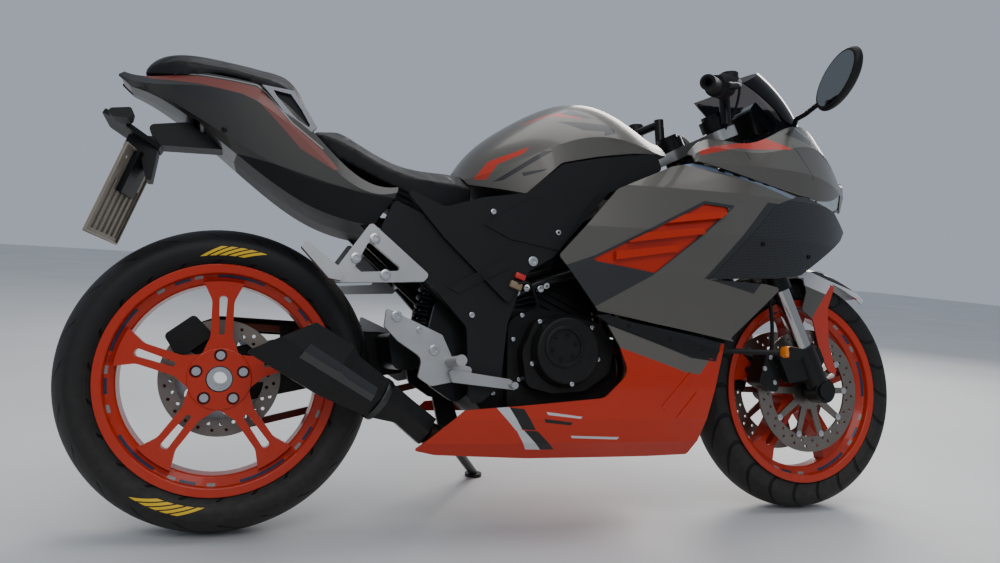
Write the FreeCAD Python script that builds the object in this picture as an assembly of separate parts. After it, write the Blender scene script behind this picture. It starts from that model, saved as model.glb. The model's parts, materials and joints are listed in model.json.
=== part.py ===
import FreeCAD, Part
import math
import os

from FreeCAD import Vector as V

# Sport bike parked on its side stand, in millimetres.
# It is drawn upright first: X forward from the rear axle, Y to the rider's left, Z up from the ground.
# At the end the steered pieces are turned, everything leans onto the stand, and the origin goes to the
# middle of the footprint on the floor.

# Wheels, tyres and stance
WHEELBASE = 1395.0
REAR_TYRE_R = 306.0
REAR_TYRE_W = 150.0
FRONT_TYRE_R = 293.0
FRONT_TYRE_W = 110.0
FLANGE_R = 229.0
BEAD_R = 216.0
REAR_RIM_W = 124.0
FRONT_RIM_W = 92.0
RIM_WALL = 6.0
WELL_DEPTH = 20.0
LEAN = 9.0
STEER_AT_REST = 3.0
STEER_LOCK = 30.0

# Steering geometry
RAKE = 24.5
FORK_OFFSET = 35.0
FORK_HALF = 100.0
STANCHION_R = 20.5
OUTER_TUBE_R = 27.5
TOP_CLAMP_AT = 672.0
LOWER_CLAMP_AT = 505.0
CLAMP_T = 26.0

# Brakes and drive
FRONT_DISC_R = 152.0
FRONT_DISC_Y = 58.0
REAR_DISC_R = 122.0
REAR_DISC_Y = 52.0
DISC_T = 5.0
CHAIN_Y = 123.0
CHAIN_W = 17.0
CHAIN_H = 15.0
SPROCKET_R = 104.0
DRIVE_SPROCKET_R = 33.0
CHAIN_GAP = 1.5
OUTPUT_X = 520.0
OUTPUT_Z = 357.0

# Swingarm and frame plates
PIVOT_X = 448.0
PIVOT_Z = 372.0
PIVOT_R = 13.0
ARM_Y0 = 84.0
ARM_Y1 = 110.0
CARRIER_R = 68.0
AXLE_R = 16.0
PLATE_Y0 = 96.0
PLATE_Y1 = 108.0

# Clearances: fixed pieces that seat, pieces that turn on a shaft, seams between panels
FIT = 0.2
TURN = 0.3
SEAM = 0.6

# Bodywork
SKIN = 4.0

PARTS = {}


def kept(make):
    """Keeps each body that a function of one inset has made, so that it is made once."""
    done = {}

    def get(inset):
        if inset not in done:
            done[inset] = make(inset)
        return done[inset]
    return get


def biggest(shape):
    """The largest solid of a shape that a cut has split."""
    return max(shape.Solids, key=lambda solid: solid.Volume)


def add(name, shape):
    """Keeps a finished shape under its node name."""
    PARTS[name] = shape


def sound(shape):
    """The same shape, turned the right way out."""
    return shape.reversed() if shape.Volume < 0 else shape


def fuse(shapes):
    """One shape from several that touch or overlap."""
    first = shapes[0]
    return first.fuse(shapes[1:]).removeSplitter() if len(shapes) > 1 else first


def mirrored(shape):
    """The same piece on the other side of the bike."""
    return shape.mirror(V(0, 0, 0), V(0, 1, 0))


def pair(shape):
    """A piece and its mirror image as one compound."""
    return Part.makeCompound([shape, mirrored(shape)])


def rounded(points, radius):
    """A closed wire through points in one plane, its corners rounded where there is room.
    A point may carry its own radius as a last value."""
    def at(p):
        return V(p[0], p[1], p[2])

    n = len(points)
    starts, ends, mids = [], [], []
    for i in range(n):
        p, before, after = at(points[i]), at(points[i - 1]), at(points[(i + 1) % n])
        r = points[i][3] if len(points[i]) > 3 else radius
        a, b = (before - p), (after - p)
        la, lb = a.Length, b.Length
        a.normalize()
        b.normalize()
        half = math.acos(max(-1.0, min(1.0, a.dot(b)))) / 2
        if r <= 0 or half > math.radians(89):
            starts.append(p)
            ends.append(p)
            mids.append(None)
            continue
        cut = min(r / math.tan(half), 0.45 * la, 0.45 * lb)
        r = cut * math.tan(half)
        middle = a + b
        middle.normalize()
        centre = p + middle * (r / math.sin(half))
        starts.append(p + a * cut)
        ends.append(p + b * cut)
        mids.append(centre - middle * r)
    edges = []
    for i in range(n):
        if mids[i] is not None:
            edges.append(Part.Arc(starts[i], mids[i], ends[i]).toShape())
        nxt = starts[(i + 1) % n]
        if (nxt - ends[i]).Length > 1e-6:
            edges.append(Part.LineSegment(ends[i], nxt).toShape())
    return Part.Wire(edges)


def slab(points, y0, y1, radius=0.0):
    """A side-view outline of (x, z) points as a plate from y0 to y1."""
    full = [(p[0], y0, p[1]) + tuple(p[2:]) for p in points]
    return Part.Face(rounded(full, radius)).extrude(V(0, y1 - y0, 0))


def plan(points, z0, z1, radius=0.0):
    """A top-view outline of (x, y) points as a plate from z0 to z1."""
    full = [(p[0], p[1], z0) + tuple(p[2:]) for p in points]
    return Part.Face(rounded(full, radius)).extrude(V(0, 0, z1 - z0))


def rod(a, b, r):
    """A round bar from point a to point b."""
    a, b = V(*a), V(*b)
    return Part.makeCylinder(r, (b - a).Length, a, b - a)


def lathe(profile, x, z):
    """A ring turned about the cross axis at (x, z) from (radius, y) points; a point's third value rounds it."""
    full = [(x + p[0], p[1], z) + tuple(p[2:]) for p in profile]
    return sound(Part.Face(rounded(full, 0.0)).revolve(V(x, 0, z), V(0, 1, 0), 360))


def disc(x, z, y0, y1, r, bore=0.0):
    """A flat disc across the bike, with an optional hole."""
    made = Part.makeCylinder(r, y1 - y0, V(x, y0, z), V(0, 1, 0))
    if bore:
        made = made.cut(Part.makeCylinder(bore, y1 - y0 + 2, V(x, y0 - 1, z), V(0, 1, 0)))
    return made


def bent(points, bend, r):
    """A round tube that runs straight between points and turns on arcs of one bend radius."""
    pts = [V(*p) for p in points]
    edges, last = [], pts[0]
    for i in range(1, len(pts) - 1):
        p = pts[i]
        a, b = pts[i - 1] - p, pts[i + 1] - p
        la, lb = a.Length, b.Length
        a.normalize()
        b.normalize()
        half = math.acos(max(-1.0, min(1.0, a.dot(b)))) / 2
        cut = min(bend / math.tan(half), 0.45 * la, 0.45 * lb)
        arc_r = cut * math.tan(half)
        middle = a + b
        middle.normalize()
        start, end = p + a * cut, p + b * cut
        top = p + middle * (arc_r / math.sin(half) - arc_r)
        edges.append(Part.LineSegment(last, start).toShape())
        edges.append(Part.Arc(start, top, end).toShape())
        last = end
    edges.append(Part.LineSegment(last, pts[-1]).toShape())
    path = Part.Wire(edges)
    circle = Part.Wire(Part.makeCircle(r, pts[0], pts[1] - pts[0]))
    return path.makePipeShell([circle], True, False)


def loft(sections, ruled=False):
    """A solid through closed wires."""
    return Part.makeLoft(sections, True, ruled)


# Steering axis, in the upright bike
SIN_R = math.sin(math.radians(RAKE))
COS_R = math.cos(math.radians(RAKE))
UP_FORK = V(-SIN_R, 0, COS_R)
FRONT_OF_FORK = V(COS_R, 0, SIN_R)
FRONT_AXLE = V(WHEELBASE, 0, FRONT_TYRE_R)
REAR_AXLE = V(0, 0, REAR_TYRE_R)
STEER_POINT = FRONT_AXLE - FRONT_OF_FORK * FORK_OFFSET


def on_leg(t, forward=0.0, y=0.0):
    """A point t up the fork leg from the axle, a little forward of it, at side distance y."""
    p = FRONT_AXLE + UP_FORK * t + FRONT_OF_FORK * forward
    return V(p.x, y, p.z)


def leg_turned(shape):
    """Stands a piece that was drawn upright at the origin along the fork leg, above the axle."""
    made = shape.copy()
    made.rotate(V(0, 0, 0), V(0, 1, 0), -RAKE)
    made.translate(FRONT_AXLE)
    return made


# Tyres: the crown's edges as shares of the half width, its steps as shares of its reach, and steps round the wheel
SHOULDER_HALF = 0.93
SHOULDER_DROP = 0.42
CROWN_STEPS = (1.0, 0.6, 0.2)
TYRE_STEPS = 80
TYRE_WALL = 12.0
BEAD_W = 10.0


def tyre(axle, radius, width, rim_width):
    """A hollow tyre in straight steps across and round: crown, sidewalls, and beads on the rim's seats."""
    half, crown = width / 2, crown_radius(width)
    y_bead = rim_width / 2 - RIM_WALL - 0.3
    seat = BEAD_R + 0.3
    side = [(seat, y_bead), (FLANGE_R + 1.0, y_bead), (BEAD_R + (radius - BEAD_R) * 0.40, half)]
    reach = math.asin(half * SHOULDER_HALF / crown)
    for share in CROWN_STEPS:
        turn = reach * share
        side.append((radius - crown * (1 - math.cos(turn)), crown * math.sin(turn)))
    hollow = [(seat, BEAD_W - y_bead), (radius - TYRE_WALL, 0), (seat, y_bead - BEAD_W)]
    profile = side + [(r, -y) for r, y in reversed(side)] + hollow
    rows = []
    for k in range(TYRE_STEPS + 1):
        turn = 2 * math.pi * (k % TYRE_STEPS) / TYRE_STEPS
        rows.append([V(axle.x + r * math.cos(turn), y, axle.z + r * math.sin(turn)) for r, y in profile])
    faces = []
    for here, after in zip(rows, rows[1:]):
        for n in range(len(profile)):
            faces.append(Part.Face(Part.makePolygon([here[n - 1], here[n], after[n], after[n - 1], here[n - 1]])))
    skin = Part.Shell(faces)
    skin.sewShape()
    return sound(Part.Solid(skin))


def crown_radius(width):
    """Radius of the tyre's round crown, from its half width and shoulder drop."""
    chord, rise = width / 2 * SHOULDER_HALF, width / 2 * SHOULDER_DROP
    return (chord * chord + rise * rise) / (2 * rise)


# Rims with split spokes
SPOKES = 5
SPOKE_TURN = 90.0


def barrel(axle, width):
    """The rim: two flanges, bead seats and the drop well between them."""
    half = width / 2
    seat = half - RIM_WALL
    well = BEAD_R - WELL_DEPTH
    wall = RIM_WALL
    outer = [(FLANGE_R, half, 2), (FLANGE_R, half - 4, 1.5), (BEAD_R, seat, 0.5), (BEAD_R - 1, seat - 13, 4),
             (well, seat - 24, 8), (well, -(seat - 24), 8), (BEAD_R - 1, -(seat - 13), 4),
             (BEAD_R, -seat, 0.5), (FLANGE_R, -half + 4, 1.5), (FLANGE_R, -half, 2)]
    inner = [(BEAD_R - wall, -half + 1, 4), (BEAD_R - wall, -(seat - 8), 6), (well - wall, -(seat - 22), 8),
             (well - wall, seat - 22, 8), (BEAD_R - wall, seat - 8, 6), (BEAD_R - wall, half - 1, 4)]
    return lathe(outer + inner, axle.x, axle.z)


def spoke_outline(hub_r, reach, turn):
    """One spoke in side view, flared at the hub and at the rim, as (x, z) about the axle."""
    half = [(hub_r * 0.75, 36, 0), (hub_r + 22, 21, 20), (reach * 0.80, 21, 30), (reach, 40, 0)]
    around = half + [(u, -v, r) for u, v, r in reversed(half)]
    c, s = math.cos(math.radians(turn)), math.sin(math.radians(turn))
    return [(u * c - v * s, u * s + v * c, r) for u, v, r in around]


def slot_outline(hub_r, reach, turn):
    """The long slot that splits a spoke into two ribs."""
    half = [(hub_r + 26, 5, 4), (reach * 0.85, 8, 7)]
    around = half + [(u, -v, r) for u, v, r in reversed(half)]
    c, s = math.cos(math.radians(turn)), math.sin(math.radians(turn))
    return [(u * c - v * s, u * s + v * c, r) for u, v, r in around]


def rim(axle, width, hub_r, bore, hub_y0, hub_y1, face_y, back_y):
    """A cast wheel: barrel, five split spokes within a dished profile, and the hub."""
    reach = BEAD_R - WELL_DEPTH - 1.0
    dish = lathe([(hub_r * 0.6, face_y[0]), (reach, face_y[1]), (reach, back_y[1]), (hub_r * 0.6, back_y[0])],
                 axle.x, axle.z)
    spokes = []
    for k in range(SPOKES):
        turn = SPOKE_TURN + 360.0 * k / SPOKES
        solid = slab([(axle.x + u, axle.z + v, r) for u, v, r in spoke_outline(hub_r, reach, turn)], -90, 90)
        slot = slab([(axle.x + u, axle.z + v, r) for u, v, r in slot_outline(hub_r, reach, turn)], -91, 91)
        spokes.append(solid.cut(slot).common(dish))
    hub = lathe([(bore, hub_y0, 0), (hub_r, hub_y0, 3), (hub_r, hub_y1, 3), (bore, hub_y1, 0)], axle.x, axle.z)
    return fuse([barrel(axle, width), hub] + spokes)


REAR_HUB_R = 62.0
REAR_BORE = 26.0
REAR_HUB_Y0 = -46.0
REAR_HUB_Y1 = 20.0
NUT_CIRCLE_R = 47.0
NUT_POCKET_R = 12.5
NUT_POCKET_DEPTH = 22.0
NUT_R = 8.5
NUT_H = 12.0
FRONT_HUB_R = 36.0
FRONT_HUB_HALF = FRONT_DISC_Y - DISC_T / 2


def wheel_nuts():
    """Five recesses round the rear hub, and the nuts that hold the wheel to the drive flange."""
    pockets, nuts = [], []
    for k in range(SPOKES):
        a = math.radians(SPOKE_TURN + 360.0 * k / SPOKES)
        x, z = NUT_CIRCLE_R * math.cos(a), REAR_TYRE_R + NUT_CIRCLE_R * math.sin(a)
        floor = REAR_HUB_Y0 + NUT_POCKET_DEPTH
        pockets.append(disc(x, z, REAR_HUB_Y0 - 8, floor, NUT_POCKET_R))
        nuts.append(disc(x, z, floor - NUT_H, floor, NUT_R))
    return pockets, nuts


def make_wheels():
    """Both wheels with tyres, discs and the rear drive flange and sprocket."""
    add("rear_tyre", tyre(REAR_AXLE, REAR_TYRE_R, REAR_TYRE_W, REAR_RIM_W))
    add("front_tyre", tyre(FRONT_AXLE, FRONT_TYRE_R, FRONT_TYRE_W, FRONT_RIM_W))
    rear = rim(REAR_AXLE, REAR_RIM_W, REAR_HUB_R, REAR_BORE, REAR_HUB_Y0, REAR_HUB_Y1, (-42, -50), (-8, -22))
    pockets, nuts = wheel_nuts()
    add("rear_rim", rear.cut(pockets))
    add("rear_wheel_nuts", Part.makeCompound(nuts))
    front = rim(FRONT_AXLE, FRONT_RIM_W, FRONT_HUB_R, AXLE_R + TURN, -FRONT_HUB_HALF, FRONT_HUB_HALF,
                (-22, -18), (22, 18))
    add("front_rim", front)


SPACER_R = 21.0
DISC_SEAT_R = 44.0


def brake_disc(axle, y, radius, inner, hub_r, bore, arms):
    """A drilled disc with its carrier arms."""
    y0, y1 = y - DISC_T / 2, y + DISC_T / 2
    ring = disc(axle.x, axle.z, y0, y1, radius, inner)
    holes = []
    for row, count in ((0.25, 24), (0.62, 24)):
        r = inner + (radius - inner) * row
        for k in range(count):
            a = 2 * math.pi * (k + row) / count
            holes.append(disc(axle.x + r * math.cos(a), axle.z + r * math.sin(a), y0 - 1, y1 + 1, 3.6))
    ring = ring.cut(holes)
    centre = disc(axle.x, axle.z, y0, y1, hub_r, bore)
    spans = []
    for k in range(arms):
        c, s = math.cos(2 * math.pi * k / arms), math.sin(2 * math.pi * k / arms)
        box = [(hub_r - 4, -9), (inner + 3, -7), (inner + 3, 7), (hub_r - 4, 9)]
        spans.append(slab([(axle.x + u * c - v * s, axle.z + u * s + v * c) for u, v in box], y0, y1))
    return fuse([ring, centre] + spans)


def make_discs():
    """Two front discs and the rear one."""
    one = brake_disc(FRONT_AXLE, -FRONT_DISC_Y, FRONT_DISC_R, FRONT_DISC_R - 38, 46, SPACER_R + 1.0, 10)
    add("front_discs", pair(one))
    add("rear_disc", brake_disc(REAR_AXLE, REAR_DISC_Y, REAR_DISC_R, REAR_DISC_R - 34, 60, DISC_SEAT_R + FIT, 5))


# Rear hub, swingarm and final drive
HUB_AXLE_R = 24.0
HOLLOW_R = 14.0
SPINDLE_Y0 = REAR_HUB_Y0 + 6
SPINDLE_Y1 = CHAIN_Y + 22
HUB_FLANGE_R = 58.0
SPROCKET_SEAT_R = 42.0
FLANGE_Y0 = REAR_HUB_Y1
FLANGE_Y1 = REAR_DISC_Y - DISC_T / 2
SPROCKET_T = 6.0
SPROCKET_TEETH = 40


def make_rear_hub():
    """The turning axle with its wheel flange, disc seat, sprocket and end nuts."""
    flange = disc(0, REAR_TYRE_R, FLANGE_Y0, FLANGE_Y1, HUB_FLANGE_R)
    spindle = disc(0, REAR_TYRE_R, SPINDLE_Y0, SPINDLE_Y1, HUB_AXLE_R)
    disc_seat = disc(0, REAR_TYRE_R, FLANGE_Y1, REAR_DISC_Y + DISC_T / 2, DISC_SEAT_R)
    seat = disc(0, REAR_TYRE_R, ARM_Y1 + 2.0, CHAIN_Y - SPROCKET_T / 2, SPROCKET_SEAT_R)
    nut = disc(0, REAR_TYRE_R, CHAIN_Y + SPROCKET_T / 2, CHAIN_Y + 20, 30.0)
    body = fuse([flange, spindle, disc_seat, seat, nut])
    hollow = disc(0, REAR_TYRE_R, REAR_HUB_Y0 - 20, CHAIN_Y + 30, HOLLOW_R)
    add("rear_hub_axle", body.cut(hollow))
    teeth = []
    step = 360.0 / SPROCKET_TEETH
    for k in range(SPROCKET_TEETH):
        for r, part in ((SPROCKET_R - 9, 0.0), (SPROCKET_R, 0.34), (SPROCKET_R, 0.5)):
            a = math.radians(step * (k + part))
            teeth.append((r * math.cos(a), REAR_TYRE_R + r * math.sin(a)))
    plate = slab(teeth, CHAIN_Y - SPROCKET_T / 2, CHAIN_Y + SPROCKET_T / 2)
    windows = []
    for k in range(5):
        a = math.radians(72 * k)
        windows.append(disc(66 * math.cos(a), REAR_TYRE_R + 66 * math.sin(a), CHAIN_Y - 9, CHAIN_Y + 9, 19))
    bore = disc(0, REAR_TYRE_R, CHAIN_Y - 9, CHAIN_Y + 9, HUB_AXLE_R + FIT)
    add("rear_sprocket", plate.cut(windows + [bore]))


def belt_outline(r_rear, r_front):
    """The closed line that wraps both sprockets, as a wire in the chain's plane."""
    a, b = V(0, CHAIN_Y, REAR_TYRE_R), V(OUTPUT_X, CHAIN_Y, OUTPUT_Z)
    d = b - a
    length = d.Length
    base = math.atan2(d.z, d.x)
    swing = math.acos((r_rear - r_front) / length)

    def at(c, r, ang):
        return V(c.x + r * math.cos(ang), CHAIN_Y, c.z + r * math.sin(ang))

    top, low = base + swing, base - swing
    edges = [Part.LineSegment(at(a, r_rear, top), at(b, r_front, top)).toShape(),
             Part.Arc(at(b, r_front, top), at(b, r_front, base), at(b, r_front, low)).toShape(),
             Part.LineSegment(at(b, r_front, low), at(a, r_rear, low)).toShape(),
             Part.Arc(at(a, r_rear, low), at(a, r_rear, base + math.pi), at(a, r_rear, top)).toShape()]
    return Part.Wire(edges)


GUARD_T = 4.0
GUARD_FOOT_T = 3.0
GUARD_ABOVE = 5.0


def make_chain():
    """The drive chain as one closed loop with its front sprocket, and the guard above it."""
    inner_rear, inner_front = SPROCKET_R + CHAIN_GAP, DRIVE_SPROCKET_R + CHAIN_GAP
    face_out = Part.Face(belt_outline(inner_rear + CHAIN_H, inner_front + CHAIN_H))
    face_in = Part.Face(belt_outline(inner_rear, inner_front))
    loop = face_out.extrude(V(0, CHAIN_W, 0)).cut(face_in.extrude(V(0, CHAIN_W, 0)))
    loop.translate(V(0, -CHAIN_W / 2, 0))
    add("chain", loop)
    sprocket = disc(OUTPUT_X, OUTPUT_Z, CHAIN_Y - 4, CHAIN_Y + 4, inner_front - FIT)
    shaft = disc(OUTPUT_X, OUTPUT_Z, PLATE_Y0, CHAIN_Y + 10, 14)
    add("drive_sprocket", fuse([sprocket, shaft]))
    rise = REAR_TYRE_R + SPROCKET_R + CHAIN_GAP + CHAIN_H + GUARD_ABOVE
    top = [(-70, rise - 22, 8), (-10, rise + 3, 30), (300, rise - 8, 20), (300, rise - 8 + GUARD_T, 2),
           (-10, rise + 3 + GUARD_T, 30), (-76, rise - 19, 8)]
    side = [(-70, rise - 22, 8), (-10, rise + 3, 30), (300, rise - 8, 8), (290, rise - 34, 10), (0, rise - 26, 10)]
    outer = CHAIN_Y + CHAIN_W / 2 + 5
    guard = fuse([slab(top, ARM_Y1 - 8, outer + GUARD_T), slab(side, outer, outer + GUARD_T)])
    foot = slab([(120, 380, 4), (150, 380, 4), (150, rise, 0), (120, rise, 0)], ARM_Y1, ARM_Y1 + GUARD_FOOT_T)
    add("chain_guard", fuse([guard, foot]))


def make_swingarm():
    """The single-sided arm: hub carrier, boxed beam, bridge and the ears on the pivot shaft."""
    beam = slab([(-6, 366, 30), (170, 404, 60), (330, 414, 60), (394, 408, 10), (394, 322, 10),
                 (330, 312, 60), (180, 284, 60), (30, 252, 40), (-60, 262, 30), (-66, 330, 30)], ARM_Y0, ARM_Y1)
    window = slab([(120, 372, 14), (250, 388, 14), (262, 334, 14), (130, 314, 14)], ARM_Y0 - 1, ARM_Y1 + 1)
    carrier = disc(0, REAR_TYRE_R, ARM_Y0 - 10, ARM_Y1, CARRIER_R)
    bore = disc(0, REAR_TYRE_R, ARM_Y0 - 20, ARM_Y1 + 8, HUB_AXLE_R + TURN)
    bridge = slab([(326, 408, 12), (392, 408, 4), (392, 330, 4), (340, 330, 20)], -ARM_Y0, ARM_Y0 + 2)
    tyre_room = disc(0, REAR_TYRE_R, -120, ARM_Y0 - 1, REAR_TYRE_R + 10)
    ear = slab([(380, 404, 10), (440, 404, 20), (480, 380, 20), (470, 346, 20), (430, 336, 10), (380, 334, 10)],
               -PLATE_Y0 + FIT, -PLATE_Y0 + 40)
    tube = disc(PIVOT_X, PIVOT_Z, -PLATE_Y0 + FIT, PLATE_Y0 - FIT, 27.0)
    turn = math.radians(CALIPER_TURN)
    c, s = math.cos(turn), math.sin(turn)
    lug = [(u * c - v * s, REAR_TYRE_R + u * s + v * c, 8)
           for u, v in ((50, -34), (REAR_DISC_R + 8, -30), (REAR_DISC_R + 8, 30), (50, 34))]
    caliper_lug = slab(lug, REAR_DISC_Y + CALIPER_HALF, ARM_Y0 + 6)
    made = fuse([beam.cut(window), carrier, bridge.cut(tyre_room), ear, mirrored(ear), tube, caliper_lug])
    add("swingarm", made.cut([bore, disc(PIVOT_X, PIVOT_Z, -200, 200, PIVOT_R + FIT)]))


SHOCK_LOW = (416.0, 0.0, 396.0)
SHOCK_TOP = (454.0, 0.0, 568.0)
SHOCK_BOLT_R = 13.0
CALIPER_TURN = 128.0
CALIPER_HALF = 26.0


# Engine and its covers
ENGINE_HALF = 120.0
FIN_HALF = 106.0
COVER_BASE_T = 36.0
COVER_DOME_T = 26.0
CLUTCH_X = 694.0
CLUTCH_Z = 376.0
CLUTCH_R = 78.0
CYLINDER_TILT = 24.0
DECK = (705.0, 440.0)
CYLINDER_UP = (math.sin(math.radians(CYLINDER_TILT)), math.cos(math.radians(CYLINDER_TILT)))
CYLINDER_AHEAD = (CYLINDER_UP[1], -CYLINDER_UP[0])


def cylinder_block(along0, along1, across0, across1):
    """A side-view rectangle in the cylinders' own directions."""
    corners = ((along0, across0), (along1, across0), (along1, across1), (along0, across1))
    return [(DECK[0] + CYLINDER_UP[0] * a + CYLINDER_AHEAD[0] * c,
             DECK[1] + CYLINDER_UP[1] * a + CYLINDER_AHEAD[1] * c) for a, c in corners]


def make_engine():
    """Crankcase, inclined cylinders with fins and head, sump, and the two side covers."""
    gearbox = slab([(492, 290, 20), (540, 236, 20), (640, 236, 6), (640, 462, 6), (540, 462, 30), (496, 410, 30)],
                   -PLATE_Y0, PLATE_Y0)
    case = slab([(578, 250, 20), (800, 240, 30), (838, 300, 40), (828, 392, 30), (770, 452, 20), (640, 468, 20),
                 (578, 440, 30)], -ENGINE_HALF, ENGINE_HALF)
    sump = slab([(590, 240, 6), (780, 244, 6), (760, 216, 16), (630, 212, 16)], -64, 64)
    cylinders = slab(cylinder_block(0, 96, -66, 62), -FIN_HALF + 8, FIN_HALF - 8, 6)
    fins = [slab(cylinder_block(14 + 15 * k, 18 + 15 * k, -72, 70), -FIN_HALF, FIN_HALF, 8) for k in range(6)]
    head = slab(cylinder_block(96, 150, -72, 68), -FIN_HALF, FIN_HALF, 10)
    cover = slab(cylinder_block(150, 186, -62, 56), -100, 100, 16)
    top_end = fuse([cylinders, head, cover] + fins)
    add("cylinder_head", top_end)
    add("crankcase", fuse([gearbox, case, sump]).cut(top_end))
    clutch = slab([(610, 300, 20), (668, 286, 30), (742, 292, 20), (800, 330, 30), (812, 392, 30),
                   (776, 436, 30), (700, 452, 40), (628, 440, 30), (598, 372, 40)],
                  -ENGINE_HALF - COVER_BASE_T, -ENGINE_HALF)
    dome = lathe([(0, -ENGINE_HALF - COVER_BASE_T + 2), (CLUTCH_R, -ENGINE_HALF - COVER_BASE_T + 2, 0),
                  (CLUTCH_R - 8, -ENGINE_HALF - COVER_BASE_T - COVER_DOME_T, 6),
                  (0, -ENGINE_HALF - COVER_BASE_T - COVER_DOME_T)], CLUTCH_X, CLUTCH_Z)
    add("clutch_cover", fuse([clutch, dome]))
    stator = slab([(600, 300, 30), (730, 276, 40), (806, 320, 40), (806, 420, 40), (730, 446, 40), (610, 436, 30)],
                  ENGINE_HALF, ENGINE_HALF + 30)
    cup = lathe([(0, ENGINE_HALF + 28), (62, ENGINE_HALF + 28, 0), (56, ENGINE_HALF + 46, 6), (0, ENGINE_HALF + 46)],
                716, 366)
    inside = CHAIN_Y + CHAIN_W / 2 + 4
    sprocket_cover = slab([(486, 330, 12), (492, 300, 20), (560, 292, 20), (612, 310, 6), (612, 420, 6),
                           (540, 426, 20), (488, 412, 20)], inside, ENGINE_HALF + 30)
    add("stator_cover", fuse([stator, cup, sprocket_cover]))


# Frame with its seat rails
SPAR_Y = 128.0
HEAD_TUBE_R = 31.0
STEM_R = 15.0
SPAR_TUBE_R = 17.0
RAIL_R = 12.0
TANK_REST = (955.0, 752.0)
TANK_REST_R = 12.0
SEAT_REST = (380.0, 668.0)
SEAT_REST_R = 11.0
STAND_PIVOT = (510.0, 124.0, 165.0)
STAND_LUG_R = 16.0
STAND_PIN_R = 6.0
STAND_LUG_HALF = 6.0
STAND_FOLDED = (-1.0, 0.06, 0.04)
STAND_FOOT = (640.0, 330.0)
STAND_FOOT_R = 22.0
STAND_FOOT_T = 8.0
STAND_LEG_R = 11.0


def make_frame():
    """Head tube, two spars to the swingarm plates, cross tubes, stand bracket and the seat rails."""
    head_low = STEER_POINT + UP_FORK * (LOWER_CLAMP_AT + CLAMP_T / 2 + 8)
    head_top = STEER_POINT + UP_FORK * (TOP_CLAMP_AT - CLAMP_T / 2 - 8)
    head = rod(head_low, head_top, HEAD_TUBE_R)
    hollow = rod(head_low - UP_FORK * 5, head_top + UP_FORK * 5, STEM_R + TURN)
    spar = bent([(1090, -10, 806), (1000, -98, 775), (780, -SPAR_Y, 650), (610, -SPAR_Y + 4, 560),
                 (548, -102, 500)], 90, SPAR_TUBE_R)
    low = bent([(1116, -10, 766), (1000, -98, 700), (860, -SPAR_Y, 590), (640, -SPAR_Y - 2, 520),
                (545, -102, 470)], 80, 13)
    plate = slab([(420, 470, 20), (520, 548, 20), (580, 548, 20), (572, 470, 20), (500, 420, 20), (484, 345, 20),
                  (500, 285, 10), (468, 262, 20), (410, 300, 20), (400, 380, 30)], -PLATE_Y1, -PLATE_Y0)
    plate = plate.cut(disc(PIVOT_X, PIVOT_Z, -200, 200, PIVOT_R + FIT))
    rail = bent([(566, -PLATE_Y0 - 6, 540), (380, -104, 650), (140, -84, 742), (-74, -54, 841)], 160, RAIL_R)
    brace = bent([(470, -PLATE_Y0 - 6, 452), (300, -104, 600), (140, -84, 742)], 120, 10)
    cross = [rod((560, -PLATE_Y0, 530), (560, PLATE_Y0, 530), 13),
             rod((SHOCK_TOP[0], -PLATE_Y0, SHOCK_TOP[2]), (SHOCK_TOP[0], PLATE_Y0, SHOCK_TOP[2]), SHOCK_BOLT_R),
             rod((140, -84, 742), (140, 84, 742), 10), rod((-60, -56, 836), (-60, 56, 836), 10),
             rod((SEAT_REST[0], -104, SEAT_REST[1]), (SEAT_REST[0], 104, SEAT_REST[1]), SEAT_REST_R),
             rod((TANK_REST[0], -104, TANK_REST[1]), (TANK_REST[0], 104, TANK_REST[1]), TANK_REST_R)]
    shock_ear = slab([(430, 560, 6), (520, 560, 6), (520, 524, 4), (430, 548, 4)], -PLATE_Y1, -PLATE_Y0 + 1)
    side = [spar, low, plate, rail, brace, shock_ear]
    shaft = disc(PIVOT_X, PIVOT_Z, -PLATE_Y1 - 7, PLATE_Y1 + 5, PIVOT_R)
    head_ends = [disc(PIVOT_X, PIVOT_Z, -PLATE_Y1 - 7, -PLATE_Y1, PIVOT_R + 5),
                 disc(PIVOT_X, PIVOT_Z, PLATE_Y1, PLATE_Y1 + 5, PIVOT_R + 5)]
    tab = slab([(468, 270, 6), (506, 290, 6), (548, 168, 10), (520, 150, 10), (494, 160, 10)], PLATE_Y0, PLATE_Y1)
    lug = Part.makeCylinder(STAND_LUG_R, 2 * STAND_LUG_HALF, V(*STAND_PIVOT) - STAND_AXIS * STAND_LUG_HALF, STAND_AXIS)
    arm = rod((520, PLATE_Y1 - 6, 178), V(*STAND_PIVOT) - STAND_AXIS * 0.1, 8)
    pin_hole = Part.makeCylinder(STAND_PIN_R + TURN, 80, V(*STAND_PIVOT) - STAND_AXIS * 40, STAND_AXIS)
    stand_room = Part.makeCylinder(STAND_LUG_R + 4, 30, V(*STAND_PIVOT) + STAND_AXIS * STAND_LUG_HALF, STAND_AXIS)
    lower_room = Part.makeCylinder(STAND_LUG_R + 4, 14, V(*STAND_PIVOT) - STAND_AXIS * (STAND_LUG_HALF + 14),
                                   STAND_AXIS)
    left_bracket = fuse([tab, lug, arm]).cut([pin_hole, stand_room, lower_room])
    made = fuse([head] + side + [mirrored(s) for s in side] + cross + [shaft] + head_ends + [left_bracket])
    sprocket_room = disc(OUTPUT_X, OUTPUT_Z, PLATE_Y0 - 1, PLATE_Y1 + 1, DRIVE_SPROCKET_R + 6)
    made = made.cut([hollow, sprocket_room])
    add("frame", made)


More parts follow.
